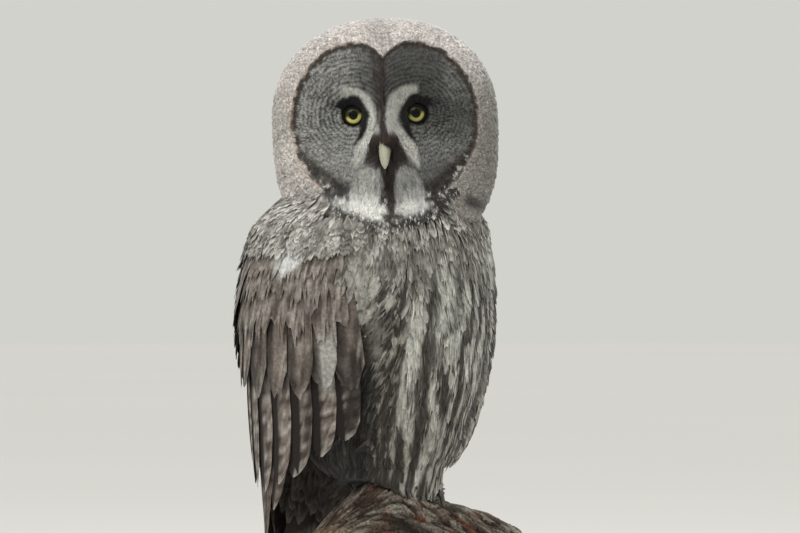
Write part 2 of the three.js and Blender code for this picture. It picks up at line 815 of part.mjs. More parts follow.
// Frames: the bird stands on the perch, the head turns back to the viewer, and the feet grip the perch.
const part = new THREE.Group();
const bird = new THREE.Group();
bird.position.copy(BIRD_OFFSET);
bird.rotation.z = BODY_YAW;
const headFrame = new THREE.Group();
headFrame.position.set(HEAD_CENTRE.left, HEAD_CENTRE.back, HEAD_CENTRE.up);
headFrame.rotation.set(0, -HEAD_ROLL, -BODY_YAW, "ZYX");
const perchFrame = new THREE.Group();
perchFrame.position.z = -PERCH.radius;
perchFrame.rotation.y = PERCH.slope;
part.add(bird);
bird.add(headFrame, perchFrame);
headFrame.updateMatrix();
perchFrame.updateMatrix();
const inBird = (solid, frame) => solid.transform(frame.matrix.elements);

// Head pieces
const headGrown = inBird(headSolid(GAP), headFrame);
const neckGrown = neckSolid(GAP);
const neckInHead = neckGrown.transform(headFrame.matrix.clone().invert().elements);
const billGrown = billUpperSolid(GAP).add(billLowerSolid(GAP));
const headFeathers = wasm.Manifold.union([...ruffSolids(), ...faceLocks()])
  .subtract(billGrown)
  .subtract(neckInHead);
let head = headSolid().add(headFeathers);
for (const side of [-1, 1]) {
  const name = side < 0 ? "right" : "left";
  head = head.subtract(eyeSolid(side, GAP)).subtract(lidSolid(side, GAP));
  headFrame.add(meshOf(`eye_${name}`, eyeSolid(side), IRIS_YELLOW));
  headFrame.add(meshOf(`eyelids_${name}`, lidSolid(side), LID_BLACK));
}
headFrame.add(meshOf("head", largest(head), FACE_GREY));
const billUpper = billUpperSolid().subtract(headSolid(GAP));
const billLower = billLowerSolid().subtract(headSolid(GAP)).subtract(billUpperSolid(GAP));
headFrame.add(meshOf("bill_upper", largest(billUpper), HORN));
headFrame.add(meshOf("bill_lower", largest(billLower), HORN));

// Perch
const perchGrown = perchSolid(GAP);
const perchInBird = inBird(perchGrown, perchFrame);
perchFrame.add(meshOf("perch", perchSolid(), BARK));

// Body pieces
const torsoGrown = torsoSolid(GAP);
const toesGrown = [-1, 1].map((side) => inBird(toesSolid(side, GAP), perchFrame));
const torso = without(torsoSolid(), [headGrown, perchInBird, ...toesGrown]);
bird.add(meshOf("torso", torso, BODY_GREY));
bird.add(meshOf("neck", largest(neckSolid().subtract(headGrown)), BODY_GREY));
bird.add(meshOf("tail", tailSolid([torsoGrown, perchInBird]), TAIL_BROWN));

// Wings, feet and legs
const tailBox = tailClearance();
const torsoInPerch = torsoGrown.transform(perchFrame.matrix.clone().invert().elements);
for (const [n, side] of [-1, 1].entries()) {
  const name = side < 0 ? "right" : "left";
  const wing = wingSolid(side, [torsoGrown, neckGrown, headGrown, tailBox, perchInBird]);
  bird.add(meshOf(`wing_${name}`, wing, WING_BROWN));
  const leg = legSolid(side, [torsoGrown, toesGrown[n], perchInBird]);
  bird.add(meshOf(`leg_${name}`, leg, LEG_GREY));
  const foot = toesSolid(side).subtract(perchGrown);
  perchFrame.add(meshOf(`foot_${name}`, largest(foot), LEG_GREY));
  for (const toe of TOES) {
    const claw = clawSolid(side, toe, [perchGrown, toesSolid(side, GAP), torsoInPerch]);
    perchFrame.add(meshOf(`claw_${name}_${toe.name}`, claw, CLAW_BLACK));
  }
}

// Plinth and rods
const rodAt = rodSolid([perchInBird]);
bird.add(meshOf("stand_rod_right", rodAt(-ROD.right), ROD_STEEL));
bird.add(meshOf("stand_rod_left", rodAt(ROD.left), ROD_STEEL));
part.add(meshOf("stand_plinth", plinthSolid(), PLINTH_WOOD));

export default part;
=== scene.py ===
import math

import bpy
import numpy as np
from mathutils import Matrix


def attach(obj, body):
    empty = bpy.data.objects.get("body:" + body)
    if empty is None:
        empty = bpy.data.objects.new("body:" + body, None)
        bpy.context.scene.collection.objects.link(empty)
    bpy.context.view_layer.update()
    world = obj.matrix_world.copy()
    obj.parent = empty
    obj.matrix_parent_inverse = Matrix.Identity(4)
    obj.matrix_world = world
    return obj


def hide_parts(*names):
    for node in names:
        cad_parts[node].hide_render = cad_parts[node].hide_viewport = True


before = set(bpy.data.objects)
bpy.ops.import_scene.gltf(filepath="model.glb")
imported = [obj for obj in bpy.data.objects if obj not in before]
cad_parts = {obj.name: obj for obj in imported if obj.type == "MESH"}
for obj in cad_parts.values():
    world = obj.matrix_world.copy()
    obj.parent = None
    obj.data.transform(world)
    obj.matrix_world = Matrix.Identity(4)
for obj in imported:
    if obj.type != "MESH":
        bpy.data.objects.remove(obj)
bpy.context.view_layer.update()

# Studio: camera, light and floor
# The owl stands on a plain pale floor, under a wide soft lamp at the upper left, another behind and above,
# and a sky that pales upwards. The camera looks level at it from 4.5 metres, through a long lens.
scene = bpy.context.scene
scene.view_settings.view_transform = "Standard"
camera_data = bpy.data.cameras.new("camera")
camera_data.sensor_width = 36
camera_data.lens = 225
camera_data.clip_end = 100
camera = bpy.data.objects.new("camera", camera_data)
camera.location = (0.0256, -4.522, 0.437)
camera.rotation_euler = (math.radians(90), 0, 0)
scene.collection.objects.link(camera)
scene.camera = camera


def hang_lamp(name, place, target, size, power, colour):
    """A square soft box of a size in metres, hung at a place and turned to a target."""
    lamp = bpy.data.lights.new(name, "AREA")
    lamp.size = size
    lamp.energy = power
    lamp.color = colour
    holder = bpy.data.objects.new(name, lamp)
    holder.location = place
    aim = np.subtract(target, place)
    yaw = math.atan2(aim[1], aim[0]) - math.pi / 2
    pitch = math.atan2(math.hypot(aim[0], aim[1]), -aim[2])
    holder.rotation_euler = (pitch, 0, yaw)
    scene.collection.objects.link(holder)


hang_lamp("key_lamp", (-1.3, -2.0, 2.9), (0.0, 0.0, 0.45), 2.0, 46, (1.0, 0.985, 0.96))
hang_lamp("top_lamp", (0.3, 0.7, 2.9), (0.0, 0.0, 0.5), 1.8, 40, (0.96, 0.98, 1.0))
sky = bpy.data.worlds.new("sky")
sky.use_nodes = True
sky_nodes = sky.node_tree.nodes
sky_place = sky_nodes.new("ShaderNodeTexCoord")
sky_height = sky_nodes.new("ShaderNodeSeparateXYZ")
sky_ramp = sky_nodes.new("ShaderNodeValToRGB")
sky_ramp.color_ramp.elements[0].position = 0.05
sky_ramp.color_ramp.elements[0].color = (0.644, 0.644, 0.604, 1)
sky_ramp.color_ramp.elements[1].position = 0.9
sky_ramp.color_ramp.elements[1].color = (1.0, 1.0, 0.98, 1)
sky.node_tree.links.new(sky_place.outputs["Generated"], sky_height.inputs["Vector"])
sky.node_tree.links.new(sky_height.outputs["Z"], sky_ramp.inputs["Fac"])
sky.node_tree.links.new(sky_ramp.outputs["Color"], sky_nodes["Background"].inputs["Color"])
sky_nodes["Background"].inputs["Strength"].default_value = 1.0
scene.world = sky


def tone(red, green, blue):
    """A finish's colour as the shader takes it, from its three screen values of 0 to 255."""
    value = np.array([red, green, blue]) / 255
    return np.where(value <= 0.04045, value / 12.92, ((value + 0.055) / 1.055) ** 2.4)


def new_material(name, roughness):
    """A material, a function that adds a node to it, and a function that fills its shader's sockets."""
    material = bpy.data.materials.new(name)
    material.use_nodes = True
    tree = material.node_tree

    def fill(target, sockets):
        """Each socket, by its name or its number, takes a value or the output of another node."""
        for socket, value in sockets.items():
            key = int(socket[1:]) if socket[1:].isdigit() else socket.replace("_", " ")
            if isinstance(value, bpy.types.NodeSocket):
                tree.links.new(value, target.inputs[key])
            else:
                target.inputs[key].default_value = value

    def node(kind, output, settings=None, **sockets):
        """One output of a new node of a kind, with its settings and sockets."""
        made = tree.nodes.new("ShaderNode" + kind)
        for key, value in (settings or {}).items():
            setattr(made, key, value)
        fill(made, sockets)
        return made.outputs[output]

    def set_shader(**sockets):
        """Values and links for the sockets of the material's own shader."""
        fill(tree.nodes["Principled BSDF"], sockets)

    set_shader(Roughness=roughness)
    return material, node, set_shader


def two_tones(node, amount, dark, pale, low=0.0, high=1.0):
    """A colour that runs evenly from a dark to a pale tone while the amount goes from low to high."""
    colour = node("ValToRGB", "Color", Fac=amount)
    for element, position, paint in zip(colour.node.color_ramp.elements, (low, high), (dark, pale)):
        element.position = position
        element.color = (*paint, 1)
    return colour


def carried_shade(node, grain, low, high, least, most):
    """The shade that the points carry, times a factor that goes evenly from least to most with the
    grain."""
    shade = node("Attribute", "Color", {"attribute_name": "shade"})
    factor = node("MapRange", "Result", _0=grain, _1=low, _2=high, _3=least, _4=most)
    return node("VectorMath", "Vector", {"operation": "SCALE"}, _0=shade, Scale=factor)


def surface_mesh(name, points, faces, finish, floats=None, colours=None, maps=None, smooth=True):
    """An object at the origin from points in metres and faces that all have as many corners. Its points
    carry the floats and colours, and its corners the maps."""
    faces = np.asarray(faces, np.int32)
    points = np.asarray(points, np.float32).reshape(-1, 3)
    corners = faces.ravel()
    mesh = bpy.data.meshes.new(name)
    mesh.vertices.add(len(points))
    mesh.vertices.foreach_set("co", points.ravel())
    mesh.loops.add(len(corners))
    mesh.loops.foreach_set("vertex_index", corners)
    mesh.polygons.add(len(faces))
    mesh.polygons.foreach_set("loop_start", np.arange(len(faces), dtype=np.int32) * faces.shape[1])
    mesh.update(calc_edges=True)
    mesh.polygons.foreach_set("use_smooth", np.full(len(faces), smooth))
    for key, values in (floats or {}).items():
        mesh.attributes.new(key, "FLOAT", "POINT").data.foreach_set("value", np.float32(values).ravel())
    for key, values in (colours or {}).items():
        rgba = np.ones((len(points), 4), np.float32)
        rgba[:, :3] = np.reshape(values, (-1, 3))
        mesh.attributes.new(key, "FLOAT_COLOR", "POINT").data.foreach_set("color", rgba.ravel())
    for key, values in (maps or {}).items():
        uv = np.float32(np.reshape(values, (-1, 2)))[corners]
        mesh.uv_layers.new(name=key).data.foreach_set("uv", uv.ravel())
    mesh.materials.append(finish)
    made = bpy.data.objects.new(name, mesh)
    scene.collection.objects.link(made)
    return made


def grid_faces(rows, columns, closed=False, start=0):
    """Faces of a grid of points, row after row. Its last column joins its first where it is closed."""
    row = np.arange(rows - 1)[:, None] * columns
    column = np.arange(columns if closed else columns - 1)[None, :]
    after = (column + 1) % columns
    corners = [row + column, row + after, row + columns + after, row + columns + column]
    return np.stack([np.broadcast_to(c, (rows - 1, column.size)) for c in corners], -1).reshape(-1, 4) + start


FLOOR_HALF = 24.0
FLOOR_POINTS = 9
FLOOR_TONE = tone(222, 221, 217)
floor_paint, node, set_shader = new_material("floor_paint", 0.9)
haze = node("TexNoise", "Fac", Vector=node("TexCoord", "Object"), Scale=0.6, Detail=2.0)
set_shader(Base_Color=two_tones(node, haze, FLOOR_TONE * 0.96, FLOOR_TONE))
edge = np.linspace(-FLOOR_HALF, FLOOR_HALF, FLOOR_POINTS)
floor_x, floor_y = np.meshgrid(edge, edge)
floor_points = np.stack([floor_x, floor_y, np.zeros_like(floor_x)], -1)
floor = surface_mesh("floor", floor_points, grid_faces(FLOOR_POINTS, FLOOR_POINTS), floor_paint)

# Skin: breast, belly, back, neck, head, legs and toes
# Under the feathers of a mounted bird lies its own skin, drawn over a body of wood wool. It is one piece
# from the crown to the toes, and shows only as the grey down between the roots of the feathers.
PLINTH_TOP = 22
TAIL_CLEAR = 18
TAIL_LENGTH = 296
TAIL_LEAN = math.radians(16.5)
TAIL_ROOT = np.array([0, 74, 88])
BODY_YAW = math.radians(45)
HEAD_ROLL = math.radians(1.8)
BIRD_PLACE = np.array([22, -22, PLINTH_TOP + TAIL_CLEAR + TAIL_LENGTH * math.cos(TAIL_LEAN) - TAIL_ROOT[2]])
HEAD_PLACE = np.array([-12.0, 2.0, 332.0])
SQUARENESS = 2.3
# Each row: a height, then the body's half width and its depth in front of and behind the middle
TORSO = [
    [6, 30, 10, 42],
    [14, 50, 27, 62],
    [36, 66, 40, 86],
    [64, 78, 49, 108],
    [100, 92, 60, 124],
    [150, 102, 66, 132],
    [200, 100, 64, 128],
    [240, 97, 61, 116],
    [275, 88, 52, 98],
    [310, 74, 40, 80],
]
NECK = {"from": 236, "to": 300, "half": 76, "front": 12, "back": 52}
WING_BED = {"depth": 10, "from": 30, "to": 262, "front": 46, "back": 166}


def in_metres(points):
    """The bird's own millimetres in the frame's metres: turned about the upright, then set over the
    plinth."""
    c, s = math.cos(BODY_YAW), math.sin(BODY_YAW)
    x, y, z = points[..., 0], points[..., 1], points[..., 2]
    return (np.stack([c * x - s * y, s * x + c * y, z], -1) + BIRD_PLACE) / 1000


def head_in_metres(points):
    """The head's own millimetres in metres: rolled a little about the line of sight, then set on the
    body."""
    c, s = math.cos(HEAD_ROLL), math.sin(HEAD_ROLL)
    x, y, z = points[..., 0], points[..., 1], points[..., 2]
    centre = in_metres(HEAD_PLACE)
    return np.stack([c * x - s * z, y, s * x + c * z], -1) / 1000 + centre


def smooth(value, low, high):
    """0 below low and 1 above high, with an S curve between."""
    t = np.clip((value - low) / (high - low), 0, 1)
    return t * t * (3 - 2 * t)


def along(table, key):
    """The columns of a table at each key: a cubic curve through the rows, as steep at each row as the chord
    from the row before it to the row after it."""
    rows = np.array(table, float)
    key = np.asarray(key, float)
    i = np.clip(np.searchsorted(rows[:, 0], key), 1, len(rows) - 1)
    a, b = rows[i - 1], rows[i]
    before, after = rows[np.maximum(i - 2, 0)], rows[np.minimum(i + 1, len(rows) - 1)]
    span = (b[..., 0] - a[..., 0])[..., None]
    t = np.clip((key[..., None] - a[..., :1]) / span, 0, 1)
    slope_a = (b - before)[..., 1:] / (b - before)[..., :1] * span
    slope_b = (after - a)[..., 1:] / (after - a)[..., :1] * span
    curve = a[..., 1:] * (2 * t**3 - 3 * t**2 + 1) + slope_a * (t**3 - 2 * t**2 + t)
    return curve + b[..., 1:] * (3 * t**2 - 2 * t**3) + slope_b * (t**3 - t**2)


def power(value, exponent):
    """The size of a value raised to a power, with the value's own sign."""
    return np.sign(value) * np.abs(value) ** exponent


def body_point(table, height, angle, grow=0.0):
    """A round-cornered section at a height: across, the half width times a power of the angle's sine, and
    in depth the front or back times the same power of its cosine."""
    half, front, back = np.moveaxis(along(table, height), -1, 0)
    x = (half + grow) * power(np.sin(angle), 2 / SQUARENESS)
    y = (back - front) / 2 - ((back + front) / 2 + grow) * power(np.cos(angle), 2 / SQUARENESS)
    return np.stack(np.broadcast_arrays(x, y, height), -1)


def plumage_point(height, angle, grow=0.0):
    """The body's outer plumage, pressed in by 10 mm where a folded wing lies on the flank."""
    around = np.degrees(np.abs(np.arctan2(np.sin(angle), np.cos(angle))))
    high = smooth(height, WING_BED["from"], WING_BED["from"] + 50) - smooth(height, 238, WING_BED["to"])
    wide = smooth(around, WING_BED["front"], WING_BED["front"] + 14) - smooth(around, 150, WING_BED["back"])
    return body_point(TORSO, height, angle, grow - WING_BED["depth"] * high * wide)


def head_ring(height, angle, sizes, grow):
    """An oval round the head's middle at a height: its half width times the sine and its depth times the
    cosine of the angle from where the face looks, turned into the body's own millimetres."""
    half, front, back = sizes["half"], sizes["front"], sizes["back"]
    turned = angle + BODY_YAW
    x = (half + grow) * np.sin(turned)
    y = (back - front) / 2 - ((back + front) / 2 + grow) * np.cos(turned)
    c, s = math.cos(BODY_YAW), math.sin(BODY_YAW)
    x, y = c * x + s * y + HEAD_PLACE[0], c * y - s * x + HEAD_PLACE[1]
    return np.stack(np.broadcast_arrays(x, y, height), -1)


def coat_point(height, angle, grow=0.0):
    """The body's plumage up into the head: over the shoulders its section turns from the body's to the
    head's."""
    share = smooth(height, NECK["from"], NECK["to"])[..., None]
    return plumage_point(height, angle, grow) * (1 - share) + head_ring(height, angle, NECK, grow) * share


# The head's half width, its reach up, down, forward and back, and how far behind its middle it is widest
HEAD = {"half": 101, "up": 92, "down": 115, "front": 49, "back": 72, "widest": 8}
DISC = {"radius": 82, "notch": 29, "notch_width": math.radians(18), "chin": 9, "chin_width": math.radians(22)}
RUFF = {"width": 5, "height": 1.2}
FACE_FRONT = 46
EYE = {"radius": 11.5, "apart": 28, "up": 5, "sunk": 8.4}


def head_radius(angle):
    """Outline of the head face on: rounder over the crown (power 2.2) than at the cheeks (power 3)."""
    up = np.sin(angle) > 0
    n = np.where(up, 2.2, 3.0)
    reach = np.where(up, HEAD["up"], HEAD["down"])
    return ((np.abs(np.cos(angle)) / HEAD["half"]) ** n + (np.abs(np.sin(angle)) / reach) ** n) ** (-1 / n)


def disc_radius(angle):
    """Edge of the face: a circle, notched over the bill and a little at the chin, each by a fading
    power."""
    notch = DISC["notch"] * np.exp(-np.arccos(np.clip(np.sin(angle), -1, 1)) / DISC["notch_width"])
    chin = DISC["chin"] * np.exp(-np.arccos(np.clip(-np.sin(angle), -1, 1)) / DISC["chin_width"])
    return DISC["radius"] - notch - chin


def rim_front(angle):
    """How far the head's ellipsoid stands forward where the ruff begins."""
    share = (disc_radius(angle) + RUFF["width"]) / head_radius(angle)
    return HEAD["front"] * np.sqrt(np.maximum(0, 1 - share**2)) - HEAD["widest"]


def face_front(x, z):
    """Forward reach of the face: a dome from rim to middle, less a hollow round each eye, plus a ridge
    between them. The hollow and the ridge fade by the exponential of a square."""
    angle = np.arctan2(z, x)
    share = np.minimum(1, np.hypot(x, z) / disc_radius(angle))
    from_eye = np.hypot(np.abs(x) - EYE["apart"] - 4, z - EYE["up"] + 2)
    hollow = 13 * np.exp(-((from_eye / 30) ** 2)) * (1 - share**4)
    ridge = 9 * np.exp(-((x / 10) ** 2)) * (1 - share**2)
    return rim_front(angle) * share**2 + FACE_FRONT * (1 - share**2) - hollow + ridge


def skull_point(share, angle, grow=0.0):
    """The head behind the ruff: an ellipsoid's meridian, from the rim at share 0 to the nape's pole at
    share 1."""
    turn = np.arccos((disc_radius(angle) + RUFF["width"]) / head_radius(angle))
    swing = -turn + (math.pi / 2 + turn) * share
    depth = np.where(swing < 0, HEAD["front"], HEAD["back"])
    r = (head_radius(angle) + grow) * np.cos(swing)
    y = HEAD["widest"] + (depth + grow) * np.sin(swing)
    return np.stack(np.broadcast_arrays(r * np.cos(angle), y, r * np.sin(angle)), -1)


SKULL_LENGTH = 160.0
SKULL_START = 5


def head_point(reach, angle, grow=0.0):
    """The head by millimetres from the edge of the face: negative inwards over the face, 0 to 5 over the
    raised crest of the ruff, and from there on over the skull. The point moves evenly from one form to the
    next."""
    reach, angle, grow = np.broadcast_arrays(np.asarray(reach, float), np.asarray(angle, float), grow)
    disc = disc_radius(angle)
    r = np.maximum(0, disc + np.minimum(reach, 0))
    x, z = r * np.cos(angle), r * np.sin(angle)
    face = np.stack([x, -face_front(x, z) - grow, z], -1)
    r = disc + RUFF["width"] / 2 + 0.5 * grow
    forward = rim_front(angle) + RUFF["height"]
    crest = np.stack([r * np.cos(angle), -forward - 0.7 * grow, r * np.sin(angle)], -1)
    skull = skull_point(np.clip((reach - SKULL_START) / SKULL_LENGTH, 0, 1), angle, grow)
    up = smooth(reach, 0, 2.5)[..., None]
    over = smooth(reach, 1.5, 14)[..., None]
    return (face * (1 - up) + crest * up) * (1 - over) + skull * over


def disc_place(x, z):
    """A place across and up the head, as millimetres beyond the disc's edge and the angle round it."""
    angle = np.arctan2(z, x)
    return np.hypot(x, z) - disc_radius(angle), angle


def hash_grid(i, j, seed):
    """An even value of 0 to 1 for each cell of a lattice: the fraction of a large sine."""
    wave = np.sin(i * 127.1 + j * 311.7 + seed * 74.7) * 43758.5453
    return wave - np.floor(wave)


def ripple(x, y, seed):
    """Smooth seeded noise of 0 to 1: hashed corners of each lattice cell, blended by S curves."""
    i, j = np.floor(x), np.floor(y)
    u, v = x - i, y - j
    u, v = u * u * (3 - 2 * u), v * v * (3 - 2 * v)
    low = hash_grid(i, j, seed) * (1 - u) + hash_grid(i + 1, j, seed) * u
    high = hash_grid(i, j + 1, seed) * (1 - u) + hash_grid(i + 1, j + 1, seed) * u
    return low * (1 - v) + high * v


def blend(first, second, share):
    """A colour that goes evenly from the first to the second as the share goes from 0 to 1."""
    return first + (second - first) * np.clip(share, 0, 1)[..., None]


def on_path(x, z, path, soft):
    """1 within a painted stroke and 0 outside it. The stroke follows a path of (x, z, half width), and its
    edge fades over a softness: by the distance to the nearest stretch of it, less the half width there."""
    path = np.array(path, float)
    best = np.full(np.broadcast(x, z).shape, np.inf)
    for (ax, az, aw), (bx, bz, bw) in zip(path[:-1], path[1:]):
        dx, dz = bx - ax, bz - az
        t = np.clip(((x - ax) * dx + (z - az) * dz) / (dx * dx + dz * dz), 0, 1)
        best = np.minimum(best, np.hypot(x - ax - dx * t, z - az - dz * t) - aw - (bw - aw) * t)
    return 1 - smooth(best, -soft / 2, soft / 2)


def on_paths(x, z, strokes):
    """The strongest of several painted strokes, each a softness with its path."""
    return np.maximum.reduce([on_path(x, z, path, soft) for soft, path in strokes])


PALE_GREY = tone(206, 206, 197)
MID_GREY = tone(146, 142, 133)
DARK_BROWN = tone(34, 26, 20)
MOTTLE_BROWN = tone(80, 68, 60)
BACK_BROWN = tone(96, 87, 79)
ARC = 1.5  # mm of plumage for each degree round the body
# Strokes painted on the body: for each a softness, and a path of mm round it, height and half width
PANEL = [(-24, 174, 3), (-28, 150, 4.5), (-34, 108, 5), (-38, 84, 4.5), (-33, 64, 4), (-25, 42, 4)]
DARK_STROKES = [
    (5, [(-11, 152, 1), (-15, 128, 7), (-19, 100, 7), (-23, 80, 4), (-16, 50, 2)]),
    (5, [(-54, 76, 4), (-50, 46, 5)]),
    (6, [(-48, 214, 3), (-47, 194, 4)]),
    (8, [(-24, 220, 1), (-23, 200, 5), (-17, 182, 3)]),
]
LIGHT_STROKES = [
    (12, [(2, 185, 4), (0, 160, 9), (-10, 140, 4)]),
    (6, [(-62, 156, 4), (-60, 122, 5)]),
]
DUSKY_STROKES = [
    (6, [(-112, 234, 4), (-82, 235, 4)]),
    (5, [(-48, 215, 3), (-47, 196, 4)]),
    (5, [(-72, 170, 3), (-74, 156, 3)]),
]


def sweep(height, angle):
    """Where the flank feathers sweep out to the bird's right wing: the millimetres outside the pale panel,
    how far they have turned aside, 0 to 1, and how many millimetres they run sideways for each one down."""
    arc = np.degrees(np.arctan2(np.sin(angle), np.cos(angle))) * ARC
    seam = np.interp(height, [40, 100, 140, 172], [-46, -37, -31, -27])
    slope = 0.38 + 0.42 * smooth(height, 60, 170)
    return seam - arc, smooth(seam - arc, 0, 9) * (1 - smooth(height, 190, 235)), slope


def body_shade(height, angle):
    """Markings of the body. Dark streaks, cosines about 17 mm apart shifted by noise so that they sway and
    part, run down the pale grey and sweep out to the right wing past a pale panel. Strokes darken or clear
    places of their own, the throat is closely mottled, and a smooth step to the back turns it brown with
    crossbars."""
    degrees = np.degrees(np.arctan2(np.sin(angle), np.cos(angle)))
    arc = degrees * ARC
    outside, aside, slope = sweep(height, angle)
    meets = height + outside / slope
    sway = 15 * (ripple(height / 62, arc / 70, 3) - 0.5) + 7 * (ripple(height / 21, arc / 24, 5) - 0.5)
    upright = np.cos(2 * math.pi * (arc + sway - 0.05 * (height - 120)) / 17.5)
    swept = np.cos(2 * math.pi * (meets + 1.6 * sway) / 27)
    wave = upright * (1 - aside) + swept * aside
    parting = 2.2 * (ripple(arc / 12, height / 42, 11) - 0.5) * (1 - aside)
    parting = parting + 2.4 * (ripple(meets / 15, outside / 24, 12) - 0.5) * aside
    parting = parting + 1.1 * (ripple(arc / 3.5, height / 16, 13) - 0.5)
    low = 1 - smooth(height, 50, 110)
    dim = aside * (1 - smooth(height, 130, 165))
    wide = 0.25 + 1.2 * dim - 0.1 * (aside - dim) + 0.45 * low * (1 - aside) * (1 - smooth(arc, -18, 6))
    streaks = smooth(wave + parting + wide, -0.1, 0.8)
    panel = on_path(arc, height, PANEL, 6)
    streaks = streaks * (1 - 0.9 * panel)
    streaks = np.maximum(streaks, 0.9 * on_paths(arc, height, DARK_STROKES) * (1 - panel))
    throat = on_path(arc, height, [(-52, 237, 5), (-42, 235, 6), (-32, 233, 4)], 6)
    streaks = streaks * (1 - 0.55 * np.maximum(on_paths(arc, height, LIGHT_STROKES), throat))
    high = smooth(height, 165, 225)
    mottle = smooth(ripple(arc / 6, height / 9, 21) + 0.45 * ripple(arc / 3, height / 4, 22), 0.5, 0.95)
    dusk = 0.1 + 0.6 * ripple(arc / 20, height / 40, 31) + 0.9 * dim + 0.2 * (aside - dim) + 0.4 * low
    base = blend(PALE_GREY, MID_GREY, dusk * (1 - 0.6 * panel) - 0.2 * high)
    shade = blend(base, DARK_BROWN, 0.95 * streaks * (1 - 0.6 * high))
    shade = blend(shade, DARK_BROWN, 0.6 * high * mottle * (1 - throat))
    shade = blend(shade, MARK_WHITE * 0.8, 0.45 * throat)
    shade = blend(shade, shade * 0.4, 0.7 * on_paths(arc, height, DUSKY_STROKES))
    # Painted shade: the flank is darkened low under the right wing and along the wing's front edge
    under = smooth(-degrees, 40, 58) * (1 - smooth(height, 36, 70))
    under = np.maximum(under, on_path(arc, height, [(-68, 114, 5), (-68, 84, 7), (-72, 50, 8)], 6))
    shade = blend(shade, shade * 0.22, under)
    nape = smooth(-degrees, 40, 58) * (1 - smooth(-degrees, 100, 120)) * smooth(height, 230, 248)
    shade = blend(shade, blend(CROWN_GREY, MID_GREY, mottle), 0.8 * nape)
    patch = on_path(np.abs(arc), height, [(124, 215, 9), (130, 206, 10)], 8) * smooth(height, 200, 206)
    shade = blend(shade, MARK_WHITE * 0.85, 0.85 * patch * (1 - 0.5 * mottle))
    back = smooth(np.abs(degrees), 104, 128)
    bars = smooth(np.cos(2 * math.pi * (height + 7 * ripple(arc / 9, height / 9, 41)) / 11), -0.2, 0.9)
    brown = blend(blend(BACK_BROWN, MID_GREY, 0.55 * bars), DARK_BROWN, 0.75 * streaks)
    return blend(shade, brown, back)


CROWN_GREY = tone(194, 187, 182)
CHEEK_GREY = tone(158, 153, 146)
FACE_GREY = tone(166, 166, 162)
RING_DARK = tone(34, 34, 31)
RIM_DARK = tone(44, 35, 29)
RIM_TAN = tone(170, 146, 124)
MARK_WHITE = tone(232, 232, 226)
CRESCENT_PALE = tone(184, 184, 178)
MARK_BLACK = tone(7, 6, 6)
LORE_BROWN = tone(40, 30, 27)
# Strokes painted on the face: paths of mm from its middle line or across it, mm up, and half width
CROWN_LINE = [(0, 66, 6.5), (0, 38, 6.5), (0, 24, 4.6), (0, 6, 2.8), (0, -14, 2.2)]
CRESCENT = [(29.5, 26.5, 4.8), (22, 22.5, 6.8), (14.5, 17, 6.6), (11, 8, 5.6), (9.4, -1, 5.2)]
CRESCENT += [(14, -11, 5.4), (18.5, -21, 5.6), (23, -29, 5), (27, -37, 3), (29, -43, 0.8)]
EYE_BLACK = [
    (3, [(43, 13, 1), (37, 15, 5), (28, 14, 9), (20.5, 5, 7), (19, -6, 3.4), (22, -14, 2.4), (27, -20, 0.6)]),
    (3, [(28, 8, 11.5), (28, 5, 9.3)]),
]
STRIPE = [(1, -38, 9), (1, -46, 7), (1, -62, 4.2), (1, -84, 3.2)]
RING_STEP = 3.7


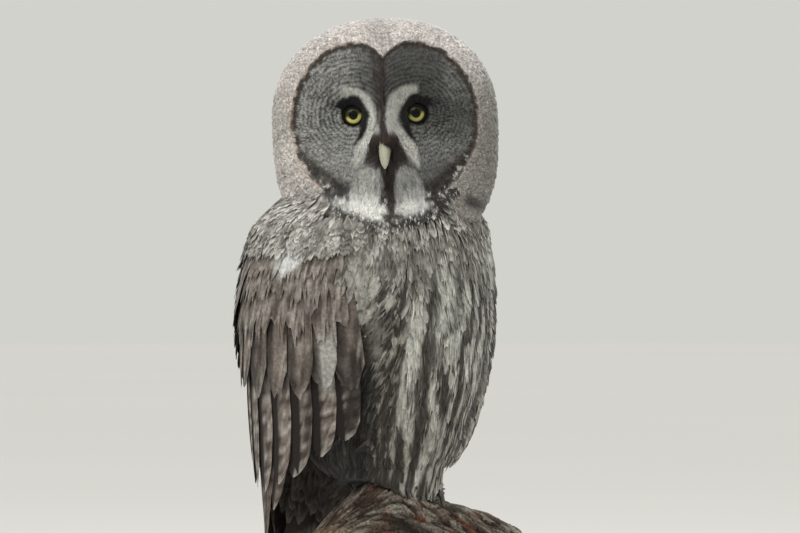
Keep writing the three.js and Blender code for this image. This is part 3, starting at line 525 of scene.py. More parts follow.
def face_shade(x, z):
    """Markings of the face, by millimetres across and up: rings round each eye, a cosine of the distance
    from it shifted by noise, then strokes for the dark line down the middle, the pale crescents between the
    eyes, the black beside them, the dark lores, the grey beard with its black stripe, and the white collar
    under a dark edge."""
    middle = -3.9 * (1 - smooth(-z, 4, 20))
    side = np.where(x > middle, 1, -1)
    across = np.abs(x - middle)
    out = np.hypot(np.abs(x) - EYE["apart"], z - EYE["up"])
    turn = np.arctan2(z - EYE["up"], np.abs(x) - EYE["apart"]) * side
    out = out + 2.2 * (ripple(x / 7, z / 7, 51) - 0.5) + 1.3 * (ripple(turn * 0.4 * out, out / 5, 50) - 0.5)
    rings = np.cos(2 * math.pi * out / RING_STEP) + 1.7 * (ripple(turn * out / 3.2, out / 3.6, 52) - 0.5)
    rings = smooth(rings, -0.8, 0.8)
    low = smooth(-z, -10, 45)
    face = blend(FACE_GREY * 0.8, FACE_GREY * 0.86, low + 0.3 * (ripple(x / 16, z / 16, 53) - 0.5))
    # Painted shade over the bird's left half of the face: darker near the eye and the middle, less so at the
    # disc's outer edge, and down over the chin
    left = np.where(side > 0, 1.0, 0.0)
    shaded = left * smooth(z, -52, 5)
    between = smooth(26 - across, -6, 16) * smooth(z, 2, 22) * (1 - shaded)
    face = blend(face, face * 0.4, between)
    face = blend(face, face * 0.22, 0.95 * shaded * (1 - 0.4 * smooth(across, 46, 66) * smooth(z, 5, 25)))
    face = blend(face, face * 0.45, left * smooth(-z, 18, 40) * (1 - shaded))
    shade = blend(face, RING_DARK, 0.88 * rings * (1 - 0.35 * low * (1 - shaded)))
    reach, _ = disc_place(x, z)
    broken = smooth(ripple(x / 3.5, z / 3.5, 54), 0.25, 0.6)
    below = smooth(-z, 20, 50)
    edge = smooth(reach + 2.5 * broken, -1.6 - 15 * below, -0.2 - 8 * below)
    shade = blend(shade, blend(RIM_DARK, RIM_DARK * 0.6, below), 0.92 * edge * (1 - 0.25 * below * broken))
    specks = smooth(ripple(x / 2, z / 2, 56), 0.68, 0.8)
    shade = blend(shade, MARK_WHITE * 0.7, below * smooth(reach, -6, -2) * specks)
    shade = blend(shade, LORE_BROWN, 0.88 * on_path(across, z, CROWN_LINE, 5) * (0.7 + 0.3 * broken))
    # The crescents are dulled in patches, and on the bird's left also by painted shade
    dulled = 0.35 * smooth(ripple(x / 5, z / 5, 57), 0.4, 0.9) + 0.4 * shaded * (1 - smooth(across, 20, 8))
    pale = blend(CRESCENT_PALE, MID_GREY, dulled)
    inner = on_path(across, z, [(9, 14, 2), (8, 0, 3), (20, -22, 2)], 5)
    pale = blend(pale, MARK_WHITE, 0.35 * (1 - shaded) * inner)
    shade = blend(shade, pale, 0.95 * on_path(across, z, CRESCENT, 4) * (1 - smooth(z, 29, 34)))
    black = on_paths(np.abs(x), z, EYE_BLACK)
    black = np.maximum(black, 0.5 * on_path(np.abs(x), z, [(53, 17, 1), (42, 14, 5)], 8))
    shade = blend(shade, MARK_BLACK, black)
    lores = on_path(across, z, [(2, -13, 3), (5, -22, 6.5), (9, -30, 8), (12, -38, 7.5)], 3)
    lores = lores * (1 - 0.6 * smooth(-z, 34, 44) * smooth(across, 8, 14))
    shade = blend(shade, LORE_BROWN * 0.75, 0.94 * lores)
    beard = on_path(across, z, [(16, -48, 6), (18, -54, 10.5), (19, -62, 13.5), (20, -67, 14)], 1.8)
    # The beard's tips are painted in shade on the bird's left
    tips = blend(FACE_GREY, MARK_WHITE * 0.85, smooth(-z, 58, 74) * (0.75 - 0.35 * shaded))
    tips = blend(tips, tips * 0.6, smooth(ripple(x / 1.7, z / 12, 58), 0.45, 0.9))
    shade = blend(shade, blend(tips, tips * 0.6, shaded + 0.5 * (side > 0)), 0.95 * beard)
    cheek = on_path(x, z, [(-74, -58, 6), (-64, -72, 8), (-54, -88, 9)], 9)
    shade = blend(shade, CROWN_GREY, 0.75 * cheek * (1 - 0.6 * smooth(ripple(x / 3, z / 4, 60), 0.5, 0.8)))
    collar = on_path(x, z, [(-46, -72, 3), (-36, -76, 5), (-20, -80, 6.5), (-6, -84, 6.5)], 4)
    collar = np.maximum(collar, 0.75 * on_path(x, z, [(6, -84, 6), (22, -80, 5.5), (38, -77, 3)], 5))
    spotted = 1 - 0.7 * smooth(across, 22, 44) * smooth(ripple(x / 3, z / 4, 55), 0.3, 0.6)
    shade = blend(shade, MARK_WHITE * 0.86, collar * spotted)
    hair = 1.6 * (ripple(x / 1.3, z / 9, 59) - 0.5)
    stripe = on_path(x + 0.06 * (z + 42) + hair, z, STRIPE, 3.4)
    bow = on_path(x, z, [(-2, -87, 3), (12, -87, 2.4)], 3)
    return blend(shade, LORE_BROWN * 0.7, 0.95 * np.maximum(stripe, bow))


def head_shade(reach, angle):
    """Markings of the head by place from the face's edge: the face itself, its ragged dark and tan edge,
    then fine flecks, paler on the crown and browner at the cheeks and behind, with a dark spot low on the
    left cheek, dark fluff with a painted shadow under the face's edge, painted shade over the lower left
    side of the head, and a smooth step from each to the next."""
    x, y, z = np.moveaxis(head_point(np.minimum(reach, 12), angle), -1, 0)
    inner = face_shade(x, z)
    x, y, z = np.moveaxis(head_point(reach, angle), -1, 0)
    up = smooth(z, -30, 60)
    outer = blend(CHEEK_GREY, CROWN_GREY, up + 0.35 * (ripple(x / 17, z / 17 + y / 23, 61) - 0.5))
    flecks = smooth(ripple(x / 2.3 + y / 5, z / 2.3 + y / 4, 62), 0.5, 0.95)
    outer = blend(outer, outer * 0.42, 0.5 * flecks)
    # Painted shade over the lower left side of the head
    outer = blend(outer, outer * 0.55, smooth(x, 45, 98) * (1 - smooth(z, 20, 75)))
    outer = blend(outer, outer * 0.6, 0.6 * on_path(x, z, [(-4, 92, 8), (-4, 70, 5)], 14))
    behind = smooth(y, 0, 60) * smooth(-z, -60, 30)
    outer = blend(outer, blend(BACK_BROWN, MID_GREY, 0.5), 0.75 * behind)
    # A dark spot of fluff with a painted shadow under the face's edge, low on the left cheek
    dark_fluff_and_shadow = on_path(x, z, [(74, -74, 6), (84, -80, 4)], 8) * smooth(-y, -30, 0)
    outer = blend(outer, DARK_BROWN, 0.85 * dark_fluff_and_shadow)
    outer = blend(outer, CROWN_GREY, 0.85 * smooth(-x, 40, 72) * smooth(-z, -5, 25) * (1 - 0.6 * flecks))
    below = smooth(-z, 25, 55)
    broken = smooth(ripple(x / 3, z / 3, 63), 0.2, 0.55)
    ragged = reach + 2.6 * (ripple(x / 5, z / 5, 64) - 0.5) + 1.4 * broken
    dulled = smooth(-x, 40, 66) * smooth(-z, -2, 12) * (1 - smooth(-z, 40, 56))
    dark = (smooth(ragged, -3.4, -1.2) - smooth(ragged, 2.2, 3.8)) * (0.95 - 0.2 * below)
    dark = dark * (1 - 0.75 * dulled * broken)
    tan = (smooth(ragged, 2.6, 3.6) - smooth(ragged, 4.5, 8)) * (0.2 + 0.8 * broken)
    tan = tan * (0.55 * smooth(-x, -10, 40) + 0.12)
    outer = blend(outer, RIM_TAN, tan)
    chin = smooth(-z, 62, 72) * smooth(-np.abs(x), -60, -40)
    shade = blend(inner, outer, smooth(reach, -1, 1.5) * (1 - chin))
    return blend(shade, RIM_DARK, dark)


def plumage_finish(name, fleck_scale, barb_scale, sheen):
    """Feathers: the markings carried by the points, broken by fine flecks in the object's own space and by
    barbs that run out from each feather's shaft, in its own map of millimetres across and along."""
    material, node, set_shader = new_material(name, 0.82)
    shade = node("Attribute", "Color", {"attribute_name": "shade"})
    fleck = node("Attribute", "Fac", {"attribute_name": "fleck"})
    place = node("TexCoord", "Object")
    grain = node("TexNoise", "Fac", Vector=place, Scale=fleck_scale, Detail=2.0, Roughness=0.6)
    spread = node("MapRange", "Result", _0=grain, _1=0.36, _2=0.64, _3=-1.0, _4=1.0)
    amount = node("Math", "Value", {"operation": "MULTIPLY_ADD"}, _0=spread, _1=fleck, _2=1.0)
    vane = node("UVMap", "UV", {"uv_map": "vane"})
    slant = node("Mapping", "Vector", Vector=vane, Scale=(barb_scale, barb_scale * 0.16, 1))
    barbs = node("TexNoise", "Fac", Vector=slant, Scale=1.0, Detail=3.0, Roughness=0.65)
    comb = node("MapRange", "Result", _0=barbs, _1=0.3, _2=0.7, _3=0.72, _4=1.26)
    both = node("Math", "Value", {"operation": "MULTIPLY"}, _0=amount, _1=comb)
    paint = node("VectorMath", "Vector", {"operation": "SCALE"}, _0=shade, Scale=both)
    bump = node("Bump", "Normal", Strength=0.35, Distance=0.0006, Height=barbs)
    set_shader(Base_Color=paint, Normal=bump, Specular_IOR_Level=0.25)
    set_shader(Sheen_Weight=sheen, Sheen_Roughness=0.6)
    return material


def closed_tube(rings):
    """Points and faces of a tube through rings, with a middle point to shut each end."""
    rings = np.asarray(rings, float)
    rows, columns = rings.shape[:2]
    points = np.concatenate([rings.reshape(-1, 3), rings[:1].mean(1), rings[-1:].mean(1)])
    faces = grid_faces(rows, columns, True)
    column = np.arange(columns)
    after = (column + 1) % columns
    first = np.stack([after, column, np.full(columns, rows * columns), np.full(columns, rows * columns)], -1)
    last = np.stack([column, after], -1) + (rows - 1) * columns
    last = np.concatenate([last, np.full((columns, 2), rows * columns + 1)], -1)
    return points, [tuple(f) for f in faces] + [tuple(f[:3]) for f in first] + [tuple(f[:3]) for f in last]


def spine(points, sizes, around, count):
    """A tapering round form along a smooth curve: at each station an oval ring of the sizes' half width
    across and half depth up, by the cosine and sine of the turn."""
    knots = np.array(points, float)
    table = np.column_stack([np.linspace(0, 1, len(knots)), knots])
    t = np.linspace(0, 1, count + 1)
    centre = along(table, t)
    step = 1e-3
    heading = along(table, np.clip(t + step, 0, 1)) - along(table, np.clip(t - step, 0, 1))
    heading /= np.linalg.norm(heading, axis=1, keepdims=True)
    side = np.array([1.0, 0, 0]) - heading * heading[:, :1]
    side /= np.linalg.norm(side, axis=1, keepdims=True)
    up = np.cross(heading, side)
    size = along(np.column_stack([np.linspace(0, 1, len(sizes)), np.array(sizes, float)]), t)
    turn = np.linspace(0, 2 * math.pi, around, endpoint=False)[None, :, None]
    across = side[:, None] * size[:, None, :1] * np.cos(turn)
    return centre[:, None] + across + up[:, None] * size[:, None, 1:] * np.sin(turn)


PERCH = {"radius": 46, "right": 112, "left": 138, "slope": math.radians(10.8)}
PERCH |= {"bend_from": 45, "bend": 0.0012, "broken_from": 34}
FOOT_APART = 20
TOE_AXIS = 53.5  # mm from the log's middle to a toe's, where the toe begins
TOE_DROP = 1.5
# Each toe: the degrees round the log at which it begins and ends, and how far aside its tip lies
TOES = {"inner": (26, -12, -7), "middle": (26, -18, 2), "outer": (24, -5, 12), "hind": (20, 56, -5)}


def perch_in_bird(points):
    """The log's own millimetres in the bird's: tipped down to the bird's left, with its top under the
    feet."""
    c, s = math.cos(PERCH["slope"]), math.sin(PERCH["slope"])
    x, y, z = points[..., 0], points[..., 1], points[..., 2]
    return np.stack([c * x + s * z, y, -s * x + c * z - PERCH["radius"]], -1)


def round_perch(place, degrees, radius):
    """A point at an angle round the log: 0 is its top, and positive turns to the back."""
    turn = np.radians(degrees)
    return np.stack(np.broadcast_arrays(place, radius * np.sin(turn), radius * np.cos(turn)), -1)


def log_in_metres(points):
    """The log's own millimetres in the frame's metres."""
    return in_metres(perch_in_bird(points))


def toe_line(side, toe, t):
    """The middle of a toe on the log: as t goes from 0 to 1 it runs round the bark, aside and a little
    down."""
    start, end, spread = toe
    aside = side * (FOOT_APART + spread * t)
    return round_perch(aside, start + (end - start) * t, TOE_AXIS - TOE_DROP * t)


turn = np.linspace(0, 2 * math.pi, 72, endpoint=False)[None, :]
level = np.linspace(9, 298, 60)[:, None]
shells = [in_metres(coat_point(level, turn, -8.0))]
inner = (np.linspace(0.02, 0.99, 26)[:, None] - 1) * disc_radius(turn)
outer = np.concatenate([np.linspace(0, 5, 5), np.linspace(8, 162, 34)])[:, None]
level = np.concatenate([inner, np.broadcast_to(outer, (len(outer), turn.size))])
inset = -2.6 - 3.5 * smooth(level, 25, 60)
shells.append(head_in_metres(head_point(level, turn, inset)))
for side in (-1, 1):
    leg = [(side * 34, 14, 52), (side * 27, 15, 26), (side * FOOT_APART, 18, 2)]
    shells.append(in_metres(spine(leg, [(24, 27), (18, 20), (11, 12)], 28, 12)))
    for toe in TOES.values():
        line = toe_line(side, toe, np.linspace(0, 1, 4))
        shells.append(log_in_metres(spine(line, [(7, 7), (6.5, 6.5), (5.2, 5.2)], 20, 12)))
skin_finish = plumage_finish("down_grey", 420, 1.1, 0.2)
skin_points, skin_faces, begin = [], [], 0
for shell in shells:
    points, faces = closed_tube(shell)
    skin_points.append(points)
    skin_faces += [tuple(begin + corner for corner in face) for face in faces]
    begin += len(points)
skin_mesh = bpy.data.meshes.new("skin")
skin_mesh.from_pydata(np.concatenate(skin_points).tolist(), [], skin_faces)
skin = bpy.data.objects.new("skin", skin_mesh)
scene.collection.objects.link(skin)
weave = skin.modifiers.new("join", "REMESH")
weave.mode = "VOXEL"
weave.voxel_size = 0.0032
weave.use_smooth_shade = True
evaluated = skin.evaluated_get(bpy.context.evaluated_depsgraph_get())
joined = bpy.data.meshes.new_from_object(evaluated)
skin.modifiers.clear()
skin.data = joined
joined.name = "skin"
joined.materials.clear()
joined.materials.append(skin_finish)

# The skin's own place in the head and on the body gives it the markings of the feathers over it, but darker
skin_at = np.empty(len(joined.vertices) * 3, np.float32)
joined.vertices.foreach_get("co", skin_at)
skin_at = skin_at.reshape(-1, 3).astype(float) * 1000
from_head = skin_at - in_metres(HEAD_PLACE) * 1000
c, s = math.cos(HEAD_ROLL), math.sin(HEAD_ROLL)
head_x, head_z = c * from_head[:, 0] + s * from_head[:, 2], c * from_head[:, 2] - s * from_head[:, 0]
from_feet = skin_at - BIRD_PLACE
c, s = math.cos(BODY_YAW), math.sin(BODY_YAW)
bird_x, bird_y = c * from_feet[:, 0] + s * from_feet[:, 1], c * from_feet[:, 1] - s * from_feet[:, 0]
SKIN_OVAL = {"half": 98, "depth": 95, "behind": 30}
skin_angle = np.arctan2(bird_x / SKIN_OVAL["half"], (SKIN_OVAL["behind"] - bird_y) / SKIN_OVAL["depth"])
body_paint = body_shade(np.clip(from_feet[:, 2], 0, 310), skin_angle)
edge_reach, edge_angle = disc_place(head_x, head_z)
facing = (from_head[:, 1] < 4) & (edge_reach < 0)
side_reach = np.where(facing, edge_reach, SKULL_START + 80 * smooth(from_head[:, 1], -40, 80))
head_paint = head_shade(side_reach, edge_angle)
in_head = smooth(from_feet[:, 2], 238, 262)[:, None]
rgba = np.ones((len(skin_at), 4), np.float32)
rgba[:, :3] = (body_paint * (1 - in_head) + head_paint * in_head) * 0.45
joined.attributes.new("shade", "FLOAT_COLOR", "POINT").data.foreach_set("color", rgba.ravel())
fleck = np.full(len(skin_at), 0.2, np.float32)
joined.attributes.new("fleck", "FLOAT", "POINT").data.foreach_set("value", fleck)
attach(skin, "root")
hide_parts("torso", "neck", "head", "leg_left", "leg_right", "foot_left", "foot_right")

# Body plumage: throat, breast, belly, flanks and back
# Soft feathers with loose barbs, up to seven centimetres long, lie in rows from belly to throat. Each is
# rooted in the skin, and its tip covers the roots below it. The lowest hang over the toes and the log.
def clear_of_log(points, space, over_toes=0.0):
    """Points in the bird's millimetres, pushed straight away from the log's axis to stand a space off its
    bark, and further off it where the toes are."""
    c, s = math.cos(PERCH["slope"]), math.sin(PERCH["slope"])
    x, y, z = points[..., 0], points[..., 1], points[..., 2] + PERCH["radius"]
    lengthwise, upward = c * x - s * z, s * x + c * z
    off = np.maximum(np.hypot(y, upward), 1e-6)
    turned = np.degrees(np.arctan2(y, upward))
    toes = smooth(turned, -36, -20) * (1 - smooth(turned, 62, 76))
    toes = np.exp(-(((np.abs(lengthwise) - 21) / 17) ** 4)) * toes
    grown = np.maximum(off, PERCH["radius"] + space + over_toes * toes) / off
    held = np.abs(lengthwise) < PERCH["left"]
    grown = np.where(held, grown, 1)
    return perch_in_bird(np.stack([lengthwise, y * grown, upward * grown], -1))


def feather_grid(count, rows, columns, fringe, pointed, rng):
    """For each feather, the share of its length and the place across at a grid of points. The tip's rows
    draw back by the square of the place across, and by a random part of the fringe, so that it ends in
    separate barbs."""
    across = np.linspace(-1, 1, columns)[None, None, :]
    down = np.linspace(0, 1, rows)[None, :, None] ** 0.85
    back = pointed * across**2 + fringe * rng.random((count, 1, columns))
    return down * (1 - back * down**2), np.broadcast_to(across, (count, rows, columns))


def lay_feathers(name, finish, place, shade_at, roots, scale, heading, length, half, lift, settings, rng):
    """A coat of feathers as one mesh. A feather's middle line runs from its root along its heading in the
    surface's own two measures, its half width swells and closes by a table, and it rises as a power of the
    length left."""
    rows, columns = settings["rows"], settings["columns"]
    count = len(roots)
    share, across = feather_grid(count, rows, columns, settings["fringe"], settings["pointed"], rng)
    wide = np.interp(share, [0, 0.22, 0.6, 0.86, 1], settings["widths"])
    sideways = across * wide * half[:, None, None]
    bend = settings["bend"] * rng.normal(0, 1, (count, 1, 1)) * share**2
    da, db = np.cos(heading)[:, None, None], np.sin(heading)[:, None, None]
    run = length[:, None, None] * share
    sideways = sideways + bend * half[:, None, None]
    a = roots[:, 0, None, None] + run * da - sideways * db
    b = roots[:, 1, None, None] + (run * db + sideways * da) / scale[:, None, None]
    low, high = lift[0][:, None, None], lift[1][:, None, None]
    rise = low + (high - low) * (1 - (1 - share) ** settings["rise"])
    rise = rise + settings["camber"] * (1 - across**2) * np.minimum(1, 3 * share)
    tremble = rng.normal(0, 1, (count, 1, columns))
    rise = rise + settings["wave"] * tremble * share**2 - settings["tilt"] * across
    points = place(a, b, rise)
    shade = shade_at(a, b, share, across, rng)
    own = rng.normal(1, settings["uneven"], (count, 1, 1, 1))
    # Each feather is painted darker towards its root by the root setting: painted shade where it lies under
    # the tips of the feathers before it
    depth = (settings["root"] + (1 - settings["root"]) * smooth(share, 0.1, 0.6))[..., None]
    shade = np.clip(shade * own * depth, 0.002, 1)
    cut, slope = math.cos(settings["barbs"]), math.sin(settings["barbs"])
    reach = np.abs(sideways)
    start = rng.random((2, count, 1, 1)) * 60
    vane = np.stack([reach * cut - run * slope + start[0], reach * slope + run * cut + start[1]], -1)
    patch = np.stack([across, 2 * share - 1], -1) * 0.0014 + settings["unwrap"](roots)[:, None, None, :]
    template = grid_faces(rows, columns)
    if settings["inward"]:
        template = template[:, ::-1]
    faces = (template[None] + (np.arange(count) * rows * columns)[:, None, None]).reshape(-1, 4)
    fleck = np.broadcast_to(settings["fleck"], share.shape)
    carried = ({"fleck": fleck}, {"shade": shade}, {"OFBake": patch, "vane": vane})
    return surface_mesh(name, points, faces, finish, *carried)


def ring_angles(around, n, wander, rng):
    """Even angles round a ring, turned by half a place in every second row, with a seeded wander."""
    turn = (np.arange(around) + 0.5 * (n % 2) + rng.normal(0, wander, around)) / around
    return turn * 2 * math.pi - math.pi


def body_roots(low, high, step, spacing, rng, keep):
    """Places of feathers in rows round the body: a row for each step of height, each turned half a place
    from the last, with a seeded wander, and only where they are kept."""
    roots = []
    for n, level in enumerate(np.arange(low, high, step)):
        half, front, back = along(TORSO, np.array([level]))[0]
        girth = math.pi * (half + (front + back) / 2)
        around = max(3, int(girth / spacing))
        angle = ring_angles(around, n, 0.16, rng)
        roots.append(np.stack([level + rng.normal(0, 0.22 * step, around), angle], -1))
    roots = np.concatenate(roots)
    return roots[keep(roots[:, 0], np.degrees(roots[:, 1]))]


def body_scale(roots):
    """Millimetres of plumage at the roots for each radian round and for each millimetre of height, from two
    near points each."""
    near = coat_point(roots[:, 0], roots[:, 1] + 0.02) - coat_point(roots[:, 0], roots[:, 1] - 0.02)
    over = coat_point(roots[:, 0] + 2, roots[:, 1]) - coat_point(roots[:, 0] - 2, roots[:, 1])
    return np.linalg.norm(near, axis=-1) / 0.04, np.linalg.norm(over, axis=-1) / 4


def body_place(height, angle, grow):
    """The body's plumage in the frame, clear of the log."""
    return in_metres(clear_of_log(coat_point(np.maximum(height, -30), angle, grow), 1.2))


def unwrap_body(roots):
    """The body's cylinder laid flat: once round across the map, and its height up it."""
    return np.stack([0.01 + 0.98 * (roots[:, 1] / (2 * math.pi) + 0.5) % 1, 0.02 + roots[:, 0] / 330], -1)


def body_feather_shade(height, angle, share, across, rng):
    """The body's markings, read a little off each feather's own place so that their edges break up, with a
    dark shaft and paler barbs at the sides. Up the neck each feather gets two brown bars and a pale tip as
    well."""
    count = len(share)
    off = rng.normal(0, 1, (2, count, 1, 1))
    shade = body_shade(height + 5 * off[0], angle + 0.016 * off[1])
    shaft = np.exp(-((across / 0.22) ** 2))[..., None]
    pale = smooth(np.abs(across), 0.45, 1) * smooth(share, 0.2, 0.9)
    shade = shade * (1 - 0.3 * shaft)
    shade = blend(shade, MID_GREY, 0.3 * pale)
    high = smooth(height, 190, 235)
    own = rng.random((count, 1, 1))
    bars = smooth(np.cos(2 * math.pi * (1.9 * share + 0.35 * across**2 + own)), -0.1, 0.6)
    shade = blend(shade, MOTTLE_BROWN, 0.7 * high * bars)
    white = smooth(height, 215, 245) * (1 - 0.85 * smooth(height, 252, 282)) * smooth(np.abs(angle), 0.9, 1.5)
    shade = blend(shade, MARK_WHITE * 0.8, 0.6 * white * (1 - bars) * smooth(own, 0.1, 0.7))
    return blend(shade, MARK_WHITE * 0.85, 0.5 * high * smooth(share, 0.75, 0.93) * smooth(own, 0.3, 0.8))


# The root setting is how bright a feather is painted at its root, as painted shade under the feathers over it
BODY_FEATHER = {"rows": 6, "columns": 7, "fringe": 0.3, "pointed": 0.2, "widths": [0.35, 0.75, 1, 0.8, 0.42]}
BODY_FEATHER |= {"bend": 0.2, "rise": 1.7, "camber": 1.5, "wave": 0.2, "uneven": 0.08, "barbs": 0.25}
BODY_FEATHER |= {"fleck": 0.14, "unwrap": unwrap_body, "inward": False, "tilt": 0.0, "root": 0.62}
body_finish = plumage_finish("breast_feather", 260, 1.3, 0.1)
CHIN_GAP = {"turned": -45, "above": 250, "half": 46}


def body_heading(roots, rng, spread):
    """Downwards in the body's measures, swept out beside the pale panel, with a seeded spread."""
    outside, aside, slope = sweep(roots[:, 0], roots[:, 1])
    return math.pi + np.arctan(slope) * aside + rng.normal(0, spread, len(roots))


def lay_body(name, seed, step, spacing, long, wide, low, high, settings, keep, place, reach):
    """Rows of the body's feathers over a range of heights. They grow shorter down the belly and up the
    neck, by smooth steps."""
    rng = np.random.default_rng(seed)
    roots = body_roots(*reach, step, spacing, rng, keep)
    turned = np.abs(np.degrees(roots[:, 1]) - CHIN_GAP["turned"])
    roots = roots[(roots[:, 0] < CHIN_GAP["above"]) | (turned > CHIN_GAP["half"])]
    count = len(roots)
    length = long * rng.normal(1, 0.1, count) * (0.7 + 0.3 * smooth(roots[:, 0], 10, 70))
    length *= 1 - 0.5 * smooth(roots[:, 0], 185, 245)
    half = wide * rng.normal(1, 0.12, count) * (1 - 0.3 * smooth(roots[:, 0], 185, 245))
    lift = (np.full(count, low), high + rng.normal(0, 0.6, count))
    heading = body_heading(roots, rng, 0.12)
    across_scale, down_scale = body_scale(roots)
    made = lay_feathers(name, body_finish, place, body_feather_shade, roots, across_scale, heading,
                        length / down_scale, half, lift, settings, rng)
    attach(made, "root")


FRONT_HALF = 92  # degrees round from the middle of the breast to where the back's feathers begin
FRINGE_FROM = 24


def on_breast(height, round_):
    """The front of the body."""
    return np.abs(round_) < FRONT_HALF


def on_back(height, round_):
    """The rest of it, but not under the folded wings."""
    around = np.abs(round_)
    return (around >= FRONT_HALF) & ((around > 140) | (height < 80) | (height > 215))


def over_feet(height, round_):
    """The front, from beside the right foot to beside the left one."""
    return (round_ > -78) & (round_ < 110)


def fringe_place(height, angle, grow):
    """The belly's section let hang straight down below a height and held off the bark and the toes."""
    hang = np.maximum(0, FRINGE_FROM - height)
    points = body_point(TORSO, np.maximum(height, FRINGE_FROM), angle, grow - 0.3 * hang)
    points[..., 2] = height
    return in_metres(clear_of_log(points, 1.5, 14.0))


WISP = BODY_FEATHER | {"rows": 5, "columns": 3, "fringe": 0.2, "pointed": 0.3, "wave": 0.15, "uneven": 0.2}
WISP |= {"widths": [0.7, 1, 0.9, 0.6, 0.2], "bend": 0.9, "camber": 0.2, "barbs": 0.1}
lay_body("breast_plumage", 11, 6.0, 8.4, 50, 6.8, -7, 0.2, BODY_FEATHER, on_breast, body_place, (12, 302))
lay_body("back_plumage", 12, 7.0, 9.5, 42, 9.0, -7, 0.2, BODY_FEATHER, on_back, body_place, (12, 302))
lay_body("belly_fringe", 14, 4.0, 5.0, 66, 5.0, -5, 0.5, BODY_FEATHER, over_feet, fringe_place, (12, 42))
lay_body("breast_wisps", 13, 3.4, 4.4, 38, 1.1, -4, 1.5, WISP, on_breast, body_place, (22, 302))

# Toe plumage
# Short, close feathers clothe the toes down to the claws, and the longer ones of the belly lie over them.
rng = np.random.default_rng(15)
roots, toe_of = [], []
for side in (-1, 1):
    for start, end, spread in TOES.values():
        long = math.radians(abs(end - start)) * 53
        station, turn = np.meshgrid(np.arange(0, long - 1, 2.0), np.linspace(-2.6, 2.6, 15))
        wander = rng.normal(0, 0.12, (station.size, 2))
        roots.append(np.stack([station.ravel(), turn.ravel()], -1) + wander)
        toe_of.append(np.tile([side, start, end, spread, long], (station.size, 1)))
roots, toe_of = np.concatenate(roots), np.concatenate(toe_of).T[:, :, None, None]


def toe_place(run, turn, grow):
    """A toe's tube round the log: millimetres along it, angle round it from its top, and height off it."""
    side, start, end, spread, long = toe_of
    t = run / long
    thick = 7.0 - 1.8 * np.clip(t, 0, 1) + grow
    outward = round_perch(np.zeros_like(t), start + (end - start) * t, 1.0)
    points = toe_line(side, (start, end, spread), t) + outward * (thick * np.cos(turn))[..., None]
    points[..., 0] += thick * np.sin(turn)
    return log_in_metres(points)


def toe_shade(run, turn, share, across, rng):
    """Grey-brown down with darker bars."""
    bars = smooth(np.cos(2 * math.pi * (1.4 * share + rng.random((len(share), 1, 1)))), 0, 0.8)
    return blend(blend(MID_GREY, PALE_GREY, 0.7 * share), MOTTLE_BROWN, 0.3 * bars)


def unwrap_toes(roots):
    """The toes' tubes laid in one strip."""
    return np.stack([0.5 + roots[:, 1] / 8, 0.05 + roots[:, 0] / 60], -1)


TOE_FEATHER = BODY_FEATHER | {"rows": 4, "columns": 3, "wave": 0.1, "camber": 0.4, "unwrap": unwrap_toes}
count = len(roots)
lift = (np.full(count, -1.5), np.full(count, 1.6))
heading, length = rng.normal(0, 0.1, count), 11 * rng.normal(1, 0.1, count)
toes = lay_feathers("toe_plumage", body_finish, toe_place, toe_shade, roots, np.full(count, 6.5), heading,
                    length, np.full(count, 2.3), lift, TOE_FEATHER, rng)
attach(toes, "root")

# Head plumage: crown, cheeks and nape
# Short feathers, one to two centimetres long and finely barred, run back over the crown and back and down
# over the cheeks from the ruff. Each is rooted in the skin under the tip of the one before it.
def head_scale(roots):
    """Millimetres of head for each radian round the face at the roots, from two nearby points."""
    near = head_point(roots[:, 0], roots[:, 1] + 0.02) - head_point(roots[:, 0], roots[:, 1] - 0.02)
    return np.maximum(np.linalg.norm(near, axis=-1) / 0.04, 4)


def head_roots(low, high, step, spacing, rng):
    """Places of feathers in rows round the face: a row for each step back over the head, with a seeded
    wander."""
    roots = []
    for n, level in enumerate(np.arange(low, high, step)):
        trial = np.stack([np.full(60, level), np.linspace(0, 2 * math.pi, 60, endpoint=False)], -1)
        around = max(3, int(head_scale(trial).mean() * 2 * math.pi / spacing))
        angle = ring_angles(around, n, 0.2, rng)
        roots.append(np.stack([level + rng.normal(0, 0.25 * step, around), angle], -1))
    return np.concatenate(roots)


def head_place(reach, angle, grow):
    """The head's surface in the frame."""
    return head_in_metres(head_point(reach, angle, grow))


def unwrap_head(roots):
    """The head's meridians side by side: once round the face across the map, and back over the head up
    it."""
    across = 0.01 + 0.98 * ((roots[:, 1] / (2 * math.pi) + 0.5) % 1)
    return np.stack([across, 0.02 + (roots[:, 0] + 84) / 260], -1)


def head_feather_shade(reach, angle, share, across, rng):
    """The head's markings; behind the ruff each feather also has two or three dark bars and a pale tip."""
    shade = head_shade(reach, angle)
    back = smooth(reach, 4, 10)
    bars = smooth(np.cos(2 * math.pi * (2.6 * share + 0.2 * np.abs(across))), 0.1, 0.8) * back
    tip = smooth(share, 0.75, 1) * back
    return shade * (1 - 0.45 * bars[..., None]) * (1 + 0.4 * tip[..., None])


head_finish = plumage_finish("crown_feather", 520, 2.2, 0.3)
HEAD_FEATHER = {"rows": 5, "columns": 5, "fringe": 0.25, "pointed": 0.2, "widths": [0.5, 0.85, 1, 0.8, 0.45]}
HEAD_FEATHER |= {"bend": 0.12, "rise": 1.8, "camber": 0.5, "wave": 0.25, "uneven": 0.13, "barbs": 0.5}
HEAD_FEATHER |= {"fleck": 0.3, "unwrap": unwrap_head, "inward": True, "tilt": 0.0, "root": 0.85}
CROWN_FROM = 0.25


def on_crown(angle):
    """The head above the eyes."""
    return angle > CROWN_FROM


def on_cheek(angle):
    """The rest of the head."""
    return angle <= CROWN_FROM


